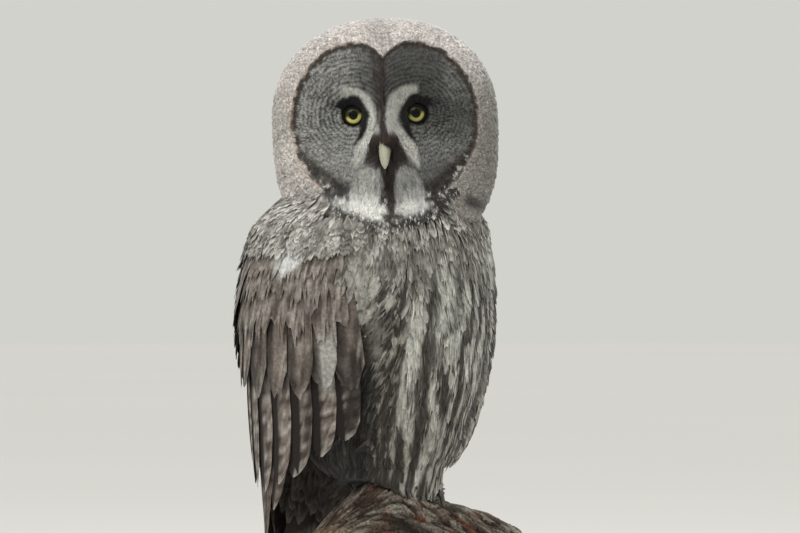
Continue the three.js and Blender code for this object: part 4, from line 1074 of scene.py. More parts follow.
def lay_head(name, seed, step, spacing, long, wide, keep):
    """Rows of feathers from the ruff back over the head, where they grow longer by a smooth step."""
    rng = np.random.default_rng(seed)
    roots = head_roots(1.5, SKULL_LENGTH, step, spacing, rng)
    roots = roots[keep(roots[:, 1])]
    count = len(roots)
    grown = 1 + 0.55 * smooth(roots[:, 0], 30, 130)
    length = long * grown * rng.normal(1, 0.1, count)
    half = wide * grown * rng.normal(1, 0.1, count)
    lift = (-1.4 - 2.4 * smooth(roots[:, 0], 25, 60), 0.3 + rng.normal(0, 0.35, count))
    heading = np.arctan2(-0.75 * np.cos(roots[:, 1]), 1) + rng.normal(0, 0.16, count)
    made = lay_feathers(name, head_finish, head_place, head_feather_shade, roots, head_scale(roots), heading,
                        length, half, lift, HEAD_FEATHER, rng)
    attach(made, "root")


lay_head("crown_plumage", 21, 3.0, 3.4, 10.5, 2.9, on_crown)
lay_head("cheek_plumage", 22, 3.3, 3.8, 12, 3.2, on_cheek)

# Facial disc
# Stiff, hair-like feathers stand out from round each eye to the ruff. They are barred alike, so that their
# bars join into rings, and give way to pale crescents, dark lores and a soft beard about the bill.
CHIN_STEP = 2
CHIN_X = np.arange(-110, 111, CHIN_STEP)
CHIN_Z = np.arange(190, 301, CHIN_STEP)
turn = np.linspace(-math.pi / 2, math.pi / 2, 61)
chin_front = []
for level in CHIN_Z:
    ring = (in_metres(coat_point(np.full(61, level), turn - BODY_YAW)) * 1000 - BIRD_PLACE)[:, :2]
    chin_front.append(np.interp(CHIN_X, ring[:, 0], ring[:, 1], left=80, right=80))
chin_front = np.array(chin_front)
HEAD_AT = in_metres(HEAD_PLACE) * 1000 - BIRD_PLACE


def breast_front(x, z):
    """How far the breast stands forward of the head's middle, read between the four nearest of its
    stations."""
    c, s = math.cos(HEAD_ROLL), math.sin(HEAD_ROLL)
    across = np.clip((c * x - s * z + HEAD_AT[0] - CHIN_X[0]) / CHIN_STEP, 0, len(CHIN_X) - 1.001)
    up = np.clip((s * x + c * z + HEAD_AT[2] - CHIN_Z[0]) / CHIN_STEP, 0, len(CHIN_Z) - 1.001)
    i, j = across.astype(int), up.astype(int)
    u, v = across - i, up - j
    low = chin_front[j, i] * (1 - u) + chin_front[j, i + 1] * u
    high = chin_front[j + 1, i] * (1 - u) + chin_front[j + 1, i + 1] * u
    return HEAD_AT[1] - low * (1 - v) - high * v


def front_point(x, z, grow):
    """The face or the breast under it, whichever stands further forward. Where they are within 9 mm of each
    other a square of the gap rounds the change."""
    face, breast = face_front(x, z), breast_front(x, z)
    gap = np.clip((breast - face) / 9, -1, 1)
    forward = np.maximum(face, breast) + 9 * 0.25 * (1 - np.abs(gap)) ** 2
    return np.stack([x, -forward - grow, z], -1)


def front_place(x, z, grow):
    """The face with the breast under it, in the frame."""
    return head_in_metres(front_point(x, z, grow))


def face_roots(count, rng):
    """Places spread evenly over the disc: a sunflower's spiral, whose radius is the square root of the
    share."""
    n = np.arange(count) + 0.5
    angle = n * 2.399963 + rng.normal(0, 0.01, count)
    r = np.sqrt(n / count) * disc_radius(angle) * 0.985
    return np.stack([r * np.cos(angle), r * np.sin(angle)], -1)


def face_heading(x, z, rng, spread):
    """Away from the nearer eye; between the eyes up and out from the bill, and beside and below the bill
    down. Exponentials of squares blend the flows."""
    side = np.where(x > 0, 1, -1)
    eye_x, eye_z = x - side * EYE["apart"], z - EYE["up"]
    far = np.hypot(eye_x, eye_z)
    middle = np.exp(-((x / 15) ** 2)) * smooth(z, -80, -20) + smooth(-z, 18, 40) * np.exp(-((x / 30) ** 2))
    middle = np.clip(middle, 0, 1)
    rising = smooth(z, -22, -10)
    flow_x = side * (0.3 + 0.25 * np.abs(x) / 15) * (0.6 + 0.4 * rising)
    flow_z = 2 * rising - 1
    dx = eye_x / far * (1 - middle) + flow_x * middle
    dz = eye_z / far * (1 - middle) + flow_z * middle
    return np.arctan2(dz, dx) + rng.normal(0, spread, len(x))


def unwrap_face(roots):
    """The face's meridians side by side: once round across the map, and from the middle to the rim up
    it."""
    angle = np.arctan2(roots[:, 1], roots[:, 0])
    share = np.hypot(roots[:, 0], roots[:, 1]) / disc_radius(angle)
    return np.stack([0.01 + 0.98 * ((angle / (2 * math.pi) + 0.5) % 1), 0.03 + 0.75 * share], -1)


def front_shade(x, z, share, across, rng):
    """The face's markings, the same all along each feather's place."""
    return face_shade(x, z)


face_finish = plumage_finish("face_feather", 700, 2.6, 0.05)
FACE_FEATHER = {"rows": 5, "columns": 3, "fringe": 0.2, "pointed": 0.25, "widths": [0.7, 0.95, 1, 0.7, 0.3]}
FACE_FEATHER |= {"bend": 0.25, "rise": 1.5, "camber": 0.25, "wave": 0.12, "uneven": 0.1, "barbs": 0.2}
FACE_FEATHER |= {"fleck": 0.12, "unwrap": unwrap_face, "inward": True, "tilt": 0.0, "root": 0.7}


def lay_face(name, roots, length, half, low, high, heading, rng):
    """Hair-like feathers on the face or the breast under it, which rise from low to about high."""
    lift = (np.full(len(roots), low), high + rng.normal(0, 0.18, len(roots)))
    made = lay_feathers(name, face_finish, front_place, front_shade, roots, np.ones(len(roots)), heading,
                        length, half, lift, FACE_FEATHER, rng)
    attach(made, "root")


EYE_CLEAR = 9.2
BILL_BED = {"half": 5.5, "top": -19, "bottom": -41}
rng = np.random.default_rng(31)
roots = face_roots(9000, rng)
from_eye = np.hypot(np.abs(roots[:, 0]) - EYE["apart"], roots[:, 1] - EYE["up"])
bill = (roots[:, 1] < BILL_BED["top"]) & (roots[:, 1] > BILL_BED["bottom"])
bill = bill & (np.abs(roots[:, 0]) < BILL_BED["half"])
reach, _ = disc_place(*roots.T)
keep = (from_eye > EYE_CLEAR) & ~bill & (reach < -1.5)
roots, from_eye, reach = roots[keep], from_eye[keep], reach[keep]
length = (5.5 + 0.11 * np.minimum(from_eye, 60)) * rng.normal(1, 0.1, len(roots))
length = np.minimum(length, 1.5 - reach)
half = (0.85 + 0.008 * np.minimum(from_eye, 60)) * rng.normal(1, 0.1, len(roots))
heading = face_heading(roots[:, 0], roots[:, 1], rng, 0.1)
lay_face("facial_disc", roots, length, half, -1.8, 0.7, heading, rng)

# Loral bristles
# Fine, stiff bristles grow down over the root of the bill from between the eyes, reddish brown in the
# middle and nearly black beside it.
BRISTLE_RED = tone(92, 68, 60)
BRISTLES = 2800
rng = np.random.default_rng(35)
roots = np.stack([rng.normal(-1.1, 3.7, BRISTLES), -15 + 14 * rng.random(BRISTLES)], -1)
roots = roots[np.abs(roots[:, 0] + 1) < 5 - 0.25 * roots[:, 1]]
count = len(roots)
near = np.exp(-(((roots[:, 0] + 0.9) / 6.3) ** 4))
lift = (np.full(count, -0.5), 1.5 + 15.5 * near + rng.normal(0, 0.7, count))
heading = -math.pi / 2 + 0.045 * (roots[:, 0] + 1) + rng.normal(0, 0.07, count)
aside = smooth(np.abs(roots[:, 0] + 0.3), 0.8, 4.2)
length = (11.5 + 5 * aside + 0.72 * (roots[:, 1] + 14)) * rng.normal(1, 0.08, count)


def bristle_shade(x, z, share, across, rng):
    """Nearly black, a little redder over the bill's root, and paler above where it meets the crescents."""
    own = rng.random((len(share), 1, 1))
    red = np.exp(-((x / 4) ** 2)) * np.exp(-(((z + 20) / 3.5) ** 2))
    shade = blend(LORE_BROWN, BRISTLE_RED, red * (0.4 + 0.6 * own))
    above = smooth(z, -15, -9) * smooth(np.abs(x + 3.5 + 0.2 * z), 2.5, 4.5)
    return blend(shade, CRESCENT_PALE, 0.85 * above)


BRISTLE = FACE_FEATHER | {"widths": [0.8, 1, 0.8, 0.5, 0.15], "bend": 1.2}
bristles = lay_feathers("loral_bristles", face_finish, front_place, bristle_shade, roots, np.ones(count),
                        heading, length, np.full(count, 0.55), lift, BRISTLE, rng)
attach(bristles, "root")

# Beard and collar
# Longer, softer barbs hang from below the bill over the chin, to each side of its middle. A white collar of
# them lies under the face, on the throat and no wider than the face is there.
BEARD = {"count": 1500, "half": 38, "top": -35, "deep": 34, "parting": 3, "length": 17, "width": 1.25}
COLLAR = {"count": 3200, "half": 82, "top": -56, "deep": 30, "reach": 62, "length": 13, "width": 1.5}


def scatter(sizes, rng):
    """Seeded places across the width and down the depth of a patch of the face."""
    x = (rng.random(sizes["count"]) * 2 - 1) * sizes["half"]
    return np.stack([x, sizes["top"] - sizes["deep"] * rng.random(sizes["count"])], -1)


def hang_barbs(name, sizes, roots, fan, spread, low, high, rng):
    """Barbs that hang straight down in the middle and fan out by the place across, with a seeded spread."""
    heading = -math.pi / 2 + roots[:, 0] * fan + rng.normal(0, spread, len(roots))
    length = sizes["length"] * rng.normal(1, 0.12, len(roots))
    lay_face(name, roots, length, sizes["width"] * rng.normal(1, 0.12, len(roots)), low, high, heading, rng)


rng = np.random.default_rng(32)
roots = scatter(BEARD, rng)
across = np.abs(roots[:, 0])
roots = roots[(across < 8 - 0.75 * (roots[:, 1] - BEARD["top"])) & (across > BEARD["parting"])]
hang_barbs("beard", BEARD, roots, 0.008, 0.08, -1, 2.6, rng)
rng = np.random.default_rng(33)
roots = scatter(COLLAR, rng)
arch = -88 + 0.0052 * roots[:, 0] ** 2
roots = roots[(roots[:, 1] > arch) & (roots[:, 1] < arch + 32) & (np.abs(roots[:, 0]) < COLLAR["reach"])]
reach, _ = disc_place(*roots.T)
roots = roots[(reach < 3) | (breast_front(*roots.T) > face_front(*roots.T))]
hang_barbs("collar", COLLAR, roots, 0.006, 0.12, -2, 1.8, rng)

# Ruff
# Close rows of short, stiff, curved feathers make the raised edge of the face, dark within and tan outside.
# They leave a gap under the chin, where the collar lies.
RUFF_AROUND = 250
CHIN_HALF = 0.75
rng = np.random.default_rng(34)
roots = []
for n, level in enumerate(np.arange(-4.2, 15, 1.6)):
    angle = ring_angles(RUFF_AROUND, n, 0.25, rng)
    roots.append(np.stack([level + rng.normal(0, 0.5, RUFF_AROUND), angle], -1))
roots = np.concatenate(roots)
roots = roots[np.abs(roots[:, 1] + math.pi / 2) >= CHIN_HALF]
count = len(roots)
RUFF_FEATHER = HEAD_FEATHER | {"columns": 3, "fringe": 0.3, "root": 1.0}
lift = (np.full(count, -0.3), 0.5 + rng.normal(0, 0.45, count))
heading = np.arctan2(-0.2 * np.cos(roots[:, 1]), 1) + rng.normal(0, 0.12, count)
length, half = 7.5 * rng.normal(1, 0.1, count), 1.6 * rng.normal(1, 0.1, count)
ruff = lay_feathers("ruff", head_finish, head_place, head_feather_shade, roots, head_scale(roots), heading,
                    length, half, lift, RUFF_FEATHER, rng)
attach(ruff, "root")

# Wings
# Each wing is folded on the flank, in tiers from the long primaries out to the shoulder. In a tier the
# feathers overlap towards the back, and the tier above covers their quills.

# Each row: a height, then the half width of the wings' outer face and its depth before and behind the
# middle
MANTLE = [
    [-160, 20, -130, 168],
    [-100, 36, -96, 152],
    [-40, 60, -50, 140],
    [0, 80, 0, 138],
    [40, 96, 40, 139],
    [100, 109, 61, 142],
    [150, 114, 67, 143],
    [200, 111, 66, 137],
    [240, 103, 62, 122],
    [265, 90, 52, 104],
]
WING_DARK = tone(26, 18, 14)
WING_BROWN = tone(88, 74, 66)
WING_PALE = tone(172, 167, 159)
SHOULDER_WHITE = tone(210, 212, 210)
STRIP_GREY = tone(170, 169, 162)


SHOULDER_PATCH = [(121, 231, 10), (123, 221, 12), (128, 207, 10), (132, 197, 4)]
GREY_STRIP = [(93, 130, 8), (95, 96, 7)]


def wing_shade(period, contrast, pale, folded, long):
    """Markings of a tier of a length: wandering bars of a period across each feather with fine wavy lines
    between, a nearly black inner web where the feather is folded under the next, its own dark brown with
    painted shade from the next over it, soft mottling where it isn't, a white patch and a grey strip where
    strokes lay them, and painted shadow along the wing's front edge, where it meets the flank."""

    def shade_at(height, angle, share, across, rng):
        """Bars are a smooth step of a cosine along the feather, shifted by noise."""
        own = rng.random((len(share), 1, 1))
        run = share * long + 5 * own * period
        arc = np.degrees(angle) * ARC
        wander = 4.0 * (ripple(arc / 7, height / 6 + 9 * own, 71) - 0.5) + 2.0 * np.abs(across)
        bars = smooth(np.cos(2 * math.pi * (run + wander) / period), -0.25, 0.5)
        lines = 1.4 * (ripple(arc / 2.2, run / 2, 72) - 0.5)
        lines = np.cos(2 * math.pi * (run + 1.6 * wander) / 2.9) + lines
        lines = smooth(lines, -0.6, 0.9)
        # The inner web: dark brown of its own, with painted shade where the next feather lies over it
        dark_web_and_shade = smooth(-across, 0.42 - 0.5 * folded, 0.72 - 0.5 * folded) * folded
        shade = blend(WING_BROWN, WING_PALE, pale * (0.25 + 0.75 * lines) * (0.45 + 0.55 * (1 - bars)))
        shade = blend(shade, WING_DARK, contrast * bars * (1 - 0.7 * lines) * 0.7)
        specks = ripple(arc / 3.2, height / 4.2, 73) + 0.5 * ripple(arc / 1.7, height / 2.2, 74)
        shade = blend(shade, WING_DARK, (1 - folded) * 0.45 * smooth(specks, 0.75, 1.2))
        shade = blend(shade, WING_PALE, (1 - folded) * 0.5 * smooth(0.7 - specks, 0, 0.35))
        strip = on_path(arc, height, GREY_STRIP, 4) * smooth(share, 0.2, 0.4)
        shade = blend(shade, STRIP_GREY, 0.85 * strip * (0.8 + 0.2 * lines))
        patch = on_path(arc, height, SHOULDER_PATCH, 8)
        shade = blend(shade, SHOULDER_WHITE, 0.92 * patch * (0.8 + 0.2 * (1 - bars)))
        # A painted shadow along the wing's front edge, where it meets the flank (gap), with a dark brown
        # strip further back (behind)
        behind = on_path(arc, height, [(106, 126, 4), (105, 84, 6), (104, 40, 8)], 5)
        gap = np.maximum(on_path(arc, height, [(71, 122, 6), (70, 86, 8), (76, 40, 5)], 5), 0.7 * behind)
        shade = blend(shade, WING_DARK, 0.96 * np.maximum(dark_web_and_shade * smooth(share, 0.05, 0.2), 0.9 * gap))
        tips = smooth(share, 0.92, 0.98) * (1 - dark_web_and_shade) * folded
        return blend(shade, WING_PALE, 0.6 * tips)

    return shade_at


def wing_place(side):
    """The outer face of the folded wing on one side."""

    def place(height, angle, grow):
        """A rounded section at each height, which stays on its own side of the middle and clear of the
        log."""
        points = body_point(MANTLE, height, angle, grow) * [side, 1, 1]
        points[..., 0] = side * np.maximum(side * points[..., 0], 1.6)
        return in_metres(clear_of_log(points, 1.5))

    return place


def unwrap_wing(roots):
    """The wing's outer face laid flat: from front to back across the map, and its height up it."""
    return np.stack([0.02 + 0.96 * (roots[:, 1] - 0.8) / 2.3, 0.05 + roots[:, 0] / 320], -1)


wing_finish = plumage_finish("wing_feather", 300, 1.5, 0.03)
QUILL = BODY_FEATHER | {"fringe": 0.01, "pointed": 0.05, "widths": [0.4, 0.8, 1, 0.86, 0.42], "bend": 0.03}
QUILL |= {"rise": 1.7, "camber": 0.5, "wave": 0.12, "uneven": 0.06, "barbs": 0.8, "fleck": 0.14, "tilt": -1.0}
QUILL |= {"unwrap": unwrap_wing, "rows": 26, "columns": 11}
COVERT = QUILL | {"rows": 10, "columns": 9, "fringe": 0.06, "pointed": 0.22, "bend": 0.08, "wave": 0.3}
COVERT |= {"widths": [0.4, 0.85, 1, 0.95, 0.7], "fleck": 0.22, "uneven": 0.09}
LESSER = COVERT | {"rows": 7, "fringe": 0.3, "pointed": 0.15, "tilt": -0.3, "wave": 0.25, "camber": 0.3}
# Each tier has a name and a count. From its first feather to its last come the heights of the roots and of
# the tips, and the degrees round of the roots and of the tips. Then follow a half width, how far the line
# of tips sags, a height over the wing, and the markings' period, contrast, paleness and fold.
WING_TIERS = [
    ["primaries", 7, (112, 98), (14, -150), (76, 140), (82, 166), 14, 14, -2.2, (17, 0.9, 0.25, 1)],
    ["secondaries", 9, (160, 150), (46, 20), (58, 148), (49, 160), 16, 33, -0.4, (15, 0.95, 0.7, 1.1)],
    ["inner_primaries", 6, (100, 92), (-20, -135), (140, 160), (135, 176), 13, 0, -10, (18, 0.9, 0.2, 1)],
    ["greater_coverts", 9, (206, 196), (86, 96), (58, 145), (50, 157), 16, 6, 1.2, (13, 0.9, 0.6, 0.8)],
    ["median_coverts", 13, (224, 214), (126, 136), (63, 142), (55, 154), 11.5, 3, 1.8, (10, 0.8, 0.6, 0.3)],
    ["lesser_coverts_low", 17, (236, 228), (160, 168), (62, 140), (56, 150), 9, 2, 2.1, (8, 0.85, 0.7, 0)],
    ["lesser_coverts_mid", 19, (241, 234), (182, 186), (62, 138), (58, 148), 8, 0, 2.3, (7, 0.85, 0.75, 0)],
    ["lesser_coverts_top", 20, (246, 240), (204, 207), (62, 138), (59, 147), 7, 0, 2.5, (7, 0.85, 0.8, 0)],
    ["scapulars", 7, (250, 242), (150, 96), (118, 149), (130, 163), 14, 0, 4, (12, 0.7, 0.6, 0.2)],
]
TIER_FORMS = [QUILL, QUILL, QUILL, COVERT, LESSER, LESSER, LESSER, LESSER, COVERT]
LEFT_TURN = {"tips": 10, "roots": 5}


def lay_wing(side, word):
    """The tiers of one wing. On the left wing the tiers that reach far forward begin a little further
    back."""
    for n, (values, settings) in enumerate(zip(WING_TIERS, TIER_FORMS)):
        tier, count, root, tip, root_angle, tip_angle, half, sag, over, pattern = values
        rng = np.random.default_rng(41 + 2 * n + (side > 0))
        if side > 0 and tip_angle[0] < 60:
            tip_angle = (tip_angle[0] + LEFT_TURN["tips"], tip_angle[1])
            root_angle = (root_angle[0] + LEFT_TURN["roots"], root_angle[1])
        u = np.linspace(0, 1, count)
        start_angle = np.radians(root_angle[0] + np.ptp(root_angle) * u)
        start = np.stack([root[0] + (root[1] - root[0]) * u, start_angle], -1)
        end_height = tip[0] + (tip[1] - tip[0]) * u - sag * np.sin(math.pi * u) + rng.normal(0, 1.6, count)
        end_angle = np.radians(tip_angle[0] + np.ptp(tip_angle) * u + rng.normal(0, 0.7, count))
        near = body_point(MANTLE, start[:, 0] - 30, start_angle + 0.02)
        scale = np.linalg.norm(near - body_point(MANTLE, start[:, 0] - 30, start_angle), axis=-1) / 0.02
        down, round_ = end_height - start[:, 0], (end_angle - start[:, 1]) * scale
        length = np.hypot(down, round_)
        lift = (np.full(count, over - 9.0), over + rng.normal(0, 0.15, count))
        settings = settings | {"inward": side < 0}
        shade_at = wing_shade(*pattern, length.mean())
        half = half * rng.normal(1, 0.04, count)
        made = lay_feathers(f"{tier}_{word}", wing_finish, wing_place(side), shade_at, start, scale,
                            np.arctan2(round_, down), length, half, lift, settings, rng)
        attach(made, "root")
    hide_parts(f"wing_{word}")


lay_wing(-1, "right")
lay_wing(1, "left")


def cape_point(height, angle, grow):
    """The body's plumage carried over the folded wing: within the wing's reach it changes by smooth steps
    to the wing's outer face, 4.5 mm up."""
    around = np.degrees(np.abs(angle))
    share = smooth(around, 44, 60) * (1 - smooth(height, 236, 276)) * (1 - smooth(around, 158, 172))
    above = body_point(MANTLE, np.minimum(height, 264), angle, grow + 4.5)
    above[..., 2] = height
    return coat_point(height, angle, grow) * (1 - share[..., None]) + above * share[..., None]


NAPE = {"half": 88, "front": 58, "back": 74, "from": 244, "to": 300}


def cape_place(height, angle, grow):
    """The plumage over the folded wing, in the frame."""
    return in_metres(cape_point(height, angle, grow))


def nape_place(height, angle, grow):
    """Down the nape: an oval round the head turns by a smooth step into the plumage over the wing. Towards
    its front it closes on the body's plumage, by a smooth step of the cosine of the angle from the face."""
    share = smooth(height, NAPE["from"], NAPE["to"])[..., None]
    points = cape_point(np.minimum(height, 246), angle, grow) * (1 - share)
    points = points + head_ring(height, angle, NAPE, grow) * share
    points[..., 2] = height
    behind = smooth(-np.cos(angle + BODY_YAW), 0.0, 0.6)[..., None]
    return in_metres(coat_point(height, angle, grow) * (1 - behind) + points * behind)


def lay_cape(name, seed, step, spacing, long, wide, low, high, keep, place=cape_place):
    """Feathers of the neck, shoulders and flanks, whose tips lie over the wing's top and front edge."""
    rng = np.random.default_rng(seed)
    roots = body_roots(40, 302, step, spacing, rng, keep)
    turned = np.abs(np.degrees(roots[:, 1]) - CHIN_GAP["turned"])
    roots = roots[(roots[:, 0] < 246) | (turned > 40) | ((roots[:, 0] < 260) & (turned > 28))]
    count = len(roots)
    length = long * rng.normal(1, 0.12, count)
    half = wide * rng.normal(1, 0.12, count)
    lift = (np.full(count, low), high + rng.normal(0, 0.5, count))
    outward = (0.25 - 0.65 * (roots[:, 1] > 0)) * (1 - smooth(roots[:, 0], 190, 235))
    heading = math.pi + outward + rng.normal(0, 0.12, count)
    across_scale, down_scale = body_scale(roots)
    made = lay_feathers(name, body_finish, place, body_feather_shade, roots, across_scale, heading,
                        length / down_scale, half, lift, CAPE_FEATHER, rng)
    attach(made, "root")


def on_shoulder(height, round_):
    """The shoulders, round the back from one to the other."""
    return (height > 222) & (np.abs(round_) > 44)


def on_right_flank(height, round_):
    """A strip in front of the right wing, up to an edge that leans with it."""
    edge = np.interp(height, [60, 112, 150, 190, 215], [42, 38, 41, 46, 54])
    return (round_ < -26) & (round_ > -edge) & (height < 240) & (height > 60)


def on_left_flank(height, round_):
    """The same in front of the left wing."""
    edge = np.interp(height, [50, 112, 150], [60, 58, 64])
    return (round_ > 32) & (round_ < edge) & (height < 240) & (height > 46)


def on_mantle(height, round_):
    """The back between the wings, with a lower edge that rises by the square of the degrees from its
    middle."""
    return (np.abs(round_) > 134) & (height < 232) & (height > 96 + 0.022 * (180 - np.abs(round_)) ** 2)


def on_nape(height, round_):
    """The back of the neck, as the head faces."""
    turned = np.abs((round_ + 225) % 360 - 180)
    return (height > 248) & (turned > 88)


CAPE_FEATHER = BODY_FEATHER | {"rows": 5, "columns": 5, "camber": 0.6}


lay_cape("mantle_plumage", 64, 4.6, 5.4, 30, 4.6, -5, 1.0, on_mantle)
lay_cape("nape_plumage", 65, 4.2, 5.0, 28, 4.0, -4, 1.2, on_nape, nape_place)
lay_cape("shoulder_plumage", 61, 3.2, 4.0, 17, 3.0, -4, 0.3, on_shoulder)
lay_cape("right_flank_plumage", 62, 3.8, 4.6, 36, 3.6, -5, 0.6, on_right_flank)
lay_cape("left_flank_plumage", 63, 4.2, 5.0, 40, 4.6, -5, 1.6, on_left_flank)

# Tail
# Twelve barred feathers fan a little out of the rump, the middle pair on top. They hang clear of the
# plinth.
TAIL_DOWN = np.array([0, math.sin(TAIL_LEAN), -math.cos(TAIL_LEAN)])
TAIL_OUT = np.array([0, math.cos(TAIL_LEAN), math.sin(TAIL_LEAN)])
RECTRICES = 12


def tail_place(down, across, grow):
    """The tail's plane in the frame: millimetres down it, across it, and out of its upper face."""
    points = TAIL_ROOT + TAIL_DOWN * down[..., None] + TAIL_OUT * grow[..., None]
    points[..., 0] = across
    return in_metres(points)


def unwrap_tail(roots):
    """The tail's plane laid flat: across the map, and from the roots to the tips up it."""
    return np.stack([0.5 + roots[:, 1] / 100, 0.1 + roots[:, 0] / 400], -1)


def tail_shade(down, across_tail, share, across, rng):
    """Dark brown feathers with paler, wavy bars 36 mm apart, by a cosine shifted by noise, mottled between,
    and a narrow pale tip."""
    own = rng.random((len(share), 1, 1))
    wander = 5 * (ripple(across_tail / 8, down / 9 + 5 * own, 81) - 0.5) + 3 * np.abs(across)
    bars = smooth(np.cos(2 * math.pi * (down + wander + 8 * own) / 36), 0.25, 0.8)
    lines = ripple(across_tail / 2.4, (down + wander) / 1.8 + 9 * own, 82)
    shade = blend(WING_DARK, WING_BROWN, 0.15 + 0.3 * lines)
    shade = blend(shade, WING_PALE, 0.4 * bars * (0.3 + 0.7 * lines))
    return blend(shade, WING_PALE, 0.6 * smooth(share, 0.965, 0.99))


rng = np.random.default_rng(51)
u = np.linspace(-1, 1, RECTRICES)
rank = (np.abs(u) * (RECTRICES - 1) - 1) / 2
level = 4 - 1.5 * rank - np.where(u < 0, 0.75, 0)
length = TAIL_LENGTH - 26 * u**2 - 22
roots = np.stack([np.full(RECTRICES, 22.0), u * 15], -1)
heading = np.arctan2(u * 18, length)
length = length * rng.normal(1, 0.004, RECTRICES)
TAIL_FEATHER = QUILL | {"rows": 40, "unwrap": unwrap_tail, "inward": False, "tilt": 0.0, "camber": 0.3}
tail = lay_feathers("tail_feathers", wing_finish, tail_place, tail_shade, roots, np.ones(RECTRICES), heading,
                    length, np.full(RECTRICES, 13.0), (0.4 * level, level), TAIL_FEATHER, rng)
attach(tail, "root")
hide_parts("tail")


def tail_covert_shade(down, across_tail, share, across, rng):
    """Grey-brown, with two dark bars and a pale edge."""
    own = rng.random((len(share), 1, 1))
    bars = smooth(np.cos(2 * math.pi * (2.2 * share + 0.3 * across**2 + own)), 0, 0.8)
    shade = blend(blend(MOTTLE_BROWN, MID_GREY, 0.3 * np.abs(across)), WING_DARK, 0.3 + 0.6 * bars)
    return blend(shade, MID_GREY, 0.3 * smooth(share, 0.85, 0.97))


for word, face, seed in (("upper", 1, 52), ("under", -1, 53)):
    rng = np.random.default_rng(seed)
    down, u = np.meshgrid(np.arange(-8, 70, 9), np.linspace(-1, 1, 9))
    roots = np.stack([down.ravel(), u.ravel() * 26], -1) + rng.normal(0, 1.5, (down.size, 2))
    count = len(roots)
    bulge = 9 * np.cos(roots[:, 1] / 22)
    lift = (face * (bulge - 6), face * (bulge * 0.6 + 4.5 + rng.normal(0, 0.5, count)) + 1.5)
    heading = roots[:, 1] * 0.004 + rng.normal(0, 0.05, count)
    length = 58 * rng.normal(1, 0.08, count)
    settings = COVERT | {"unwrap": unwrap_tail, "inward": face < 0, "tilt": 0}
    coverts = lay_feathers(f"{word}_tail_coverts", body_finish, tail_place, tail_covert_shade, roots,
                           np.ones(count), heading, length, np.full(count, 8.5), lift, settings, rng)
    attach(coverts, "root")

# Eyes
# Glass eyes, yellow in the iris and clear over it, set in the sockets so that both look at the viewer.
IRIS_YELLOW = tone(200, 194, 116)
IRIS_EDGE = tone(112, 108, 46)
PUPIL_BLACK = tone(10, 9, 8)
PUPIL = 4.0
IRIS = 7.7
EYE_ROUND = 96


def eye_centre(side):
    """The middle of an eyeball in the head's millimetres, sunk behind the face's surface."""
    x, z = side * EYE["apart"], EYE["up"]
    return np.array([x, EYE["sunk"] - face_front(np.float64(x), np.float64(z)), z])


eye_finish, node, set_shader = new_material("eye_glass", 0.06)
spoke = node("UVMap", "UV", {"uv_map": "spokes"})
fibre = node("TexNoise", "Fac", Vector=spoke, Scale=1.0, Detail=3.0, Roughness=0.6)
set_shader(Base_Color=carried_shade(node, fibre, 0.3, 0.7, 0.72, 1.22), Specular_IOR_Level=0.12)
off = np.radians(np.concatenate([[0.4], np.linspace(2, 60, 88), np.linspace(63, 100, 12)]))[:, None]
turn = np.linspace(0, 2 * math.pi, EYE_ROUND, endpoint=False)[None, :]
radius = np.full_like(turn, EYE["radius"])
wide = radius * np.sin(off)
ring = np.stack([wide * np.cos(turn), -radius * np.cos(off), wide * np.sin(turn)], -1)
iris = blend(IRIS_YELLOW * 0.86, IRIS_YELLOW, smooth(wide, PUPIL + 0.1, PUPIL + 1.4))
iris = blend(iris, IRIS_EDGE, smooth(wide, IRIS - 1.4, IRIS - 0.3))
black = np.maximum(1 - smooth(wide, PUPIL - 0.1, PUPIL + 0.25), smooth(wide, IRIS - 0.2, IRIS + 0.2))
# Painted shade over the top of each iris, under the lid and the brow
upper = smooth(wide * np.sin(turn) - 0.25 * wide * np.cos(turn), -3.2, 1.4)
spokes = np.stack(np.broadcast_arrays(np.cos(turn) * 14, np.sin(turn) * 14 + wide * 0.35), -1)
flat = np.stack([0.5 + 0.45 * np.cos(turn) * off / 1.8, 0.5 + 0.45 * np.sin(turn) * off / 1.8], -1)
for side, word in ((-1, "right"), (1, "left")):
    points = head_in_metres(ring + eye_centre(side))
    # lit also paints the bird's left eye darker all over, as painted shade
    lit = (1 - 0.95 * upper) * (0.82 - 0.2 * side)
    paint = blend(iris * lit[..., None], PUPIL_BLACK, black)
    maps = {"OFBake": flat, "spokes": spokes}
    faces = grid_faces(len(off), EYE_ROUND, True)
    eye = surface_mesh(f"glass_eye_{word}", points, faces, eye_finish, None, {"shade": paint}, maps)
    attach(eye, "root")
    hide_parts(f"eye_{word}")
# Eyelids
# A bare black rim round each eye, moulded on the ball. The upper lid comes further over it than the lower.
LID_PROFILE = [(0.2, 0.5), (0.6, 0.0), (1.0, 1.0), (1.2, 3.0), (1.2, 6.0), (0.8, 9.5), (0.2, 12.5)]
LID_PROFILE += [(-0.8, 14.0), (-1.2, 8.0), (0.1, 3.0)]
lid_finish, node, set_shader = new_material("lid_skin", 0.8)
grain = node("TexNoise", "Fac", Vector=node("TexCoord", "Object"), Scale=1800.0, Detail=3.0)
bump = node("Bump", "Normal", Strength=0.4, Distance=0.0003, Height=grain)
set_shader(Base_Color=two_tones(node, grain, tone(5, 5, 5), tone(14, 12, 11)))
set_shader(Normal=bump, Specular_IOR_Level=0.15)
turn = np.linspace(0, 2 * math.pi, EYE_ROUND, endpoint=False)[None, :]
opening = np.radians(40.5 - 10 * np.maximum(0, np.sin(turn)) ** 2)
profile = np.array(LID_PROFILE)[:, :, None]
off = opening + np.radians(profile[:, 1])
radius = EYE["radius"] + profile[:, 0] * np.ones_like(turn)
ring = np.stack([np.sin(off) * np.cos(turn), -np.cos(off), np.sin(off) * np.sin(turn)], -1)
ring = ring * radius[..., None]
ring = np.concatenate([ring, ring[:1]])
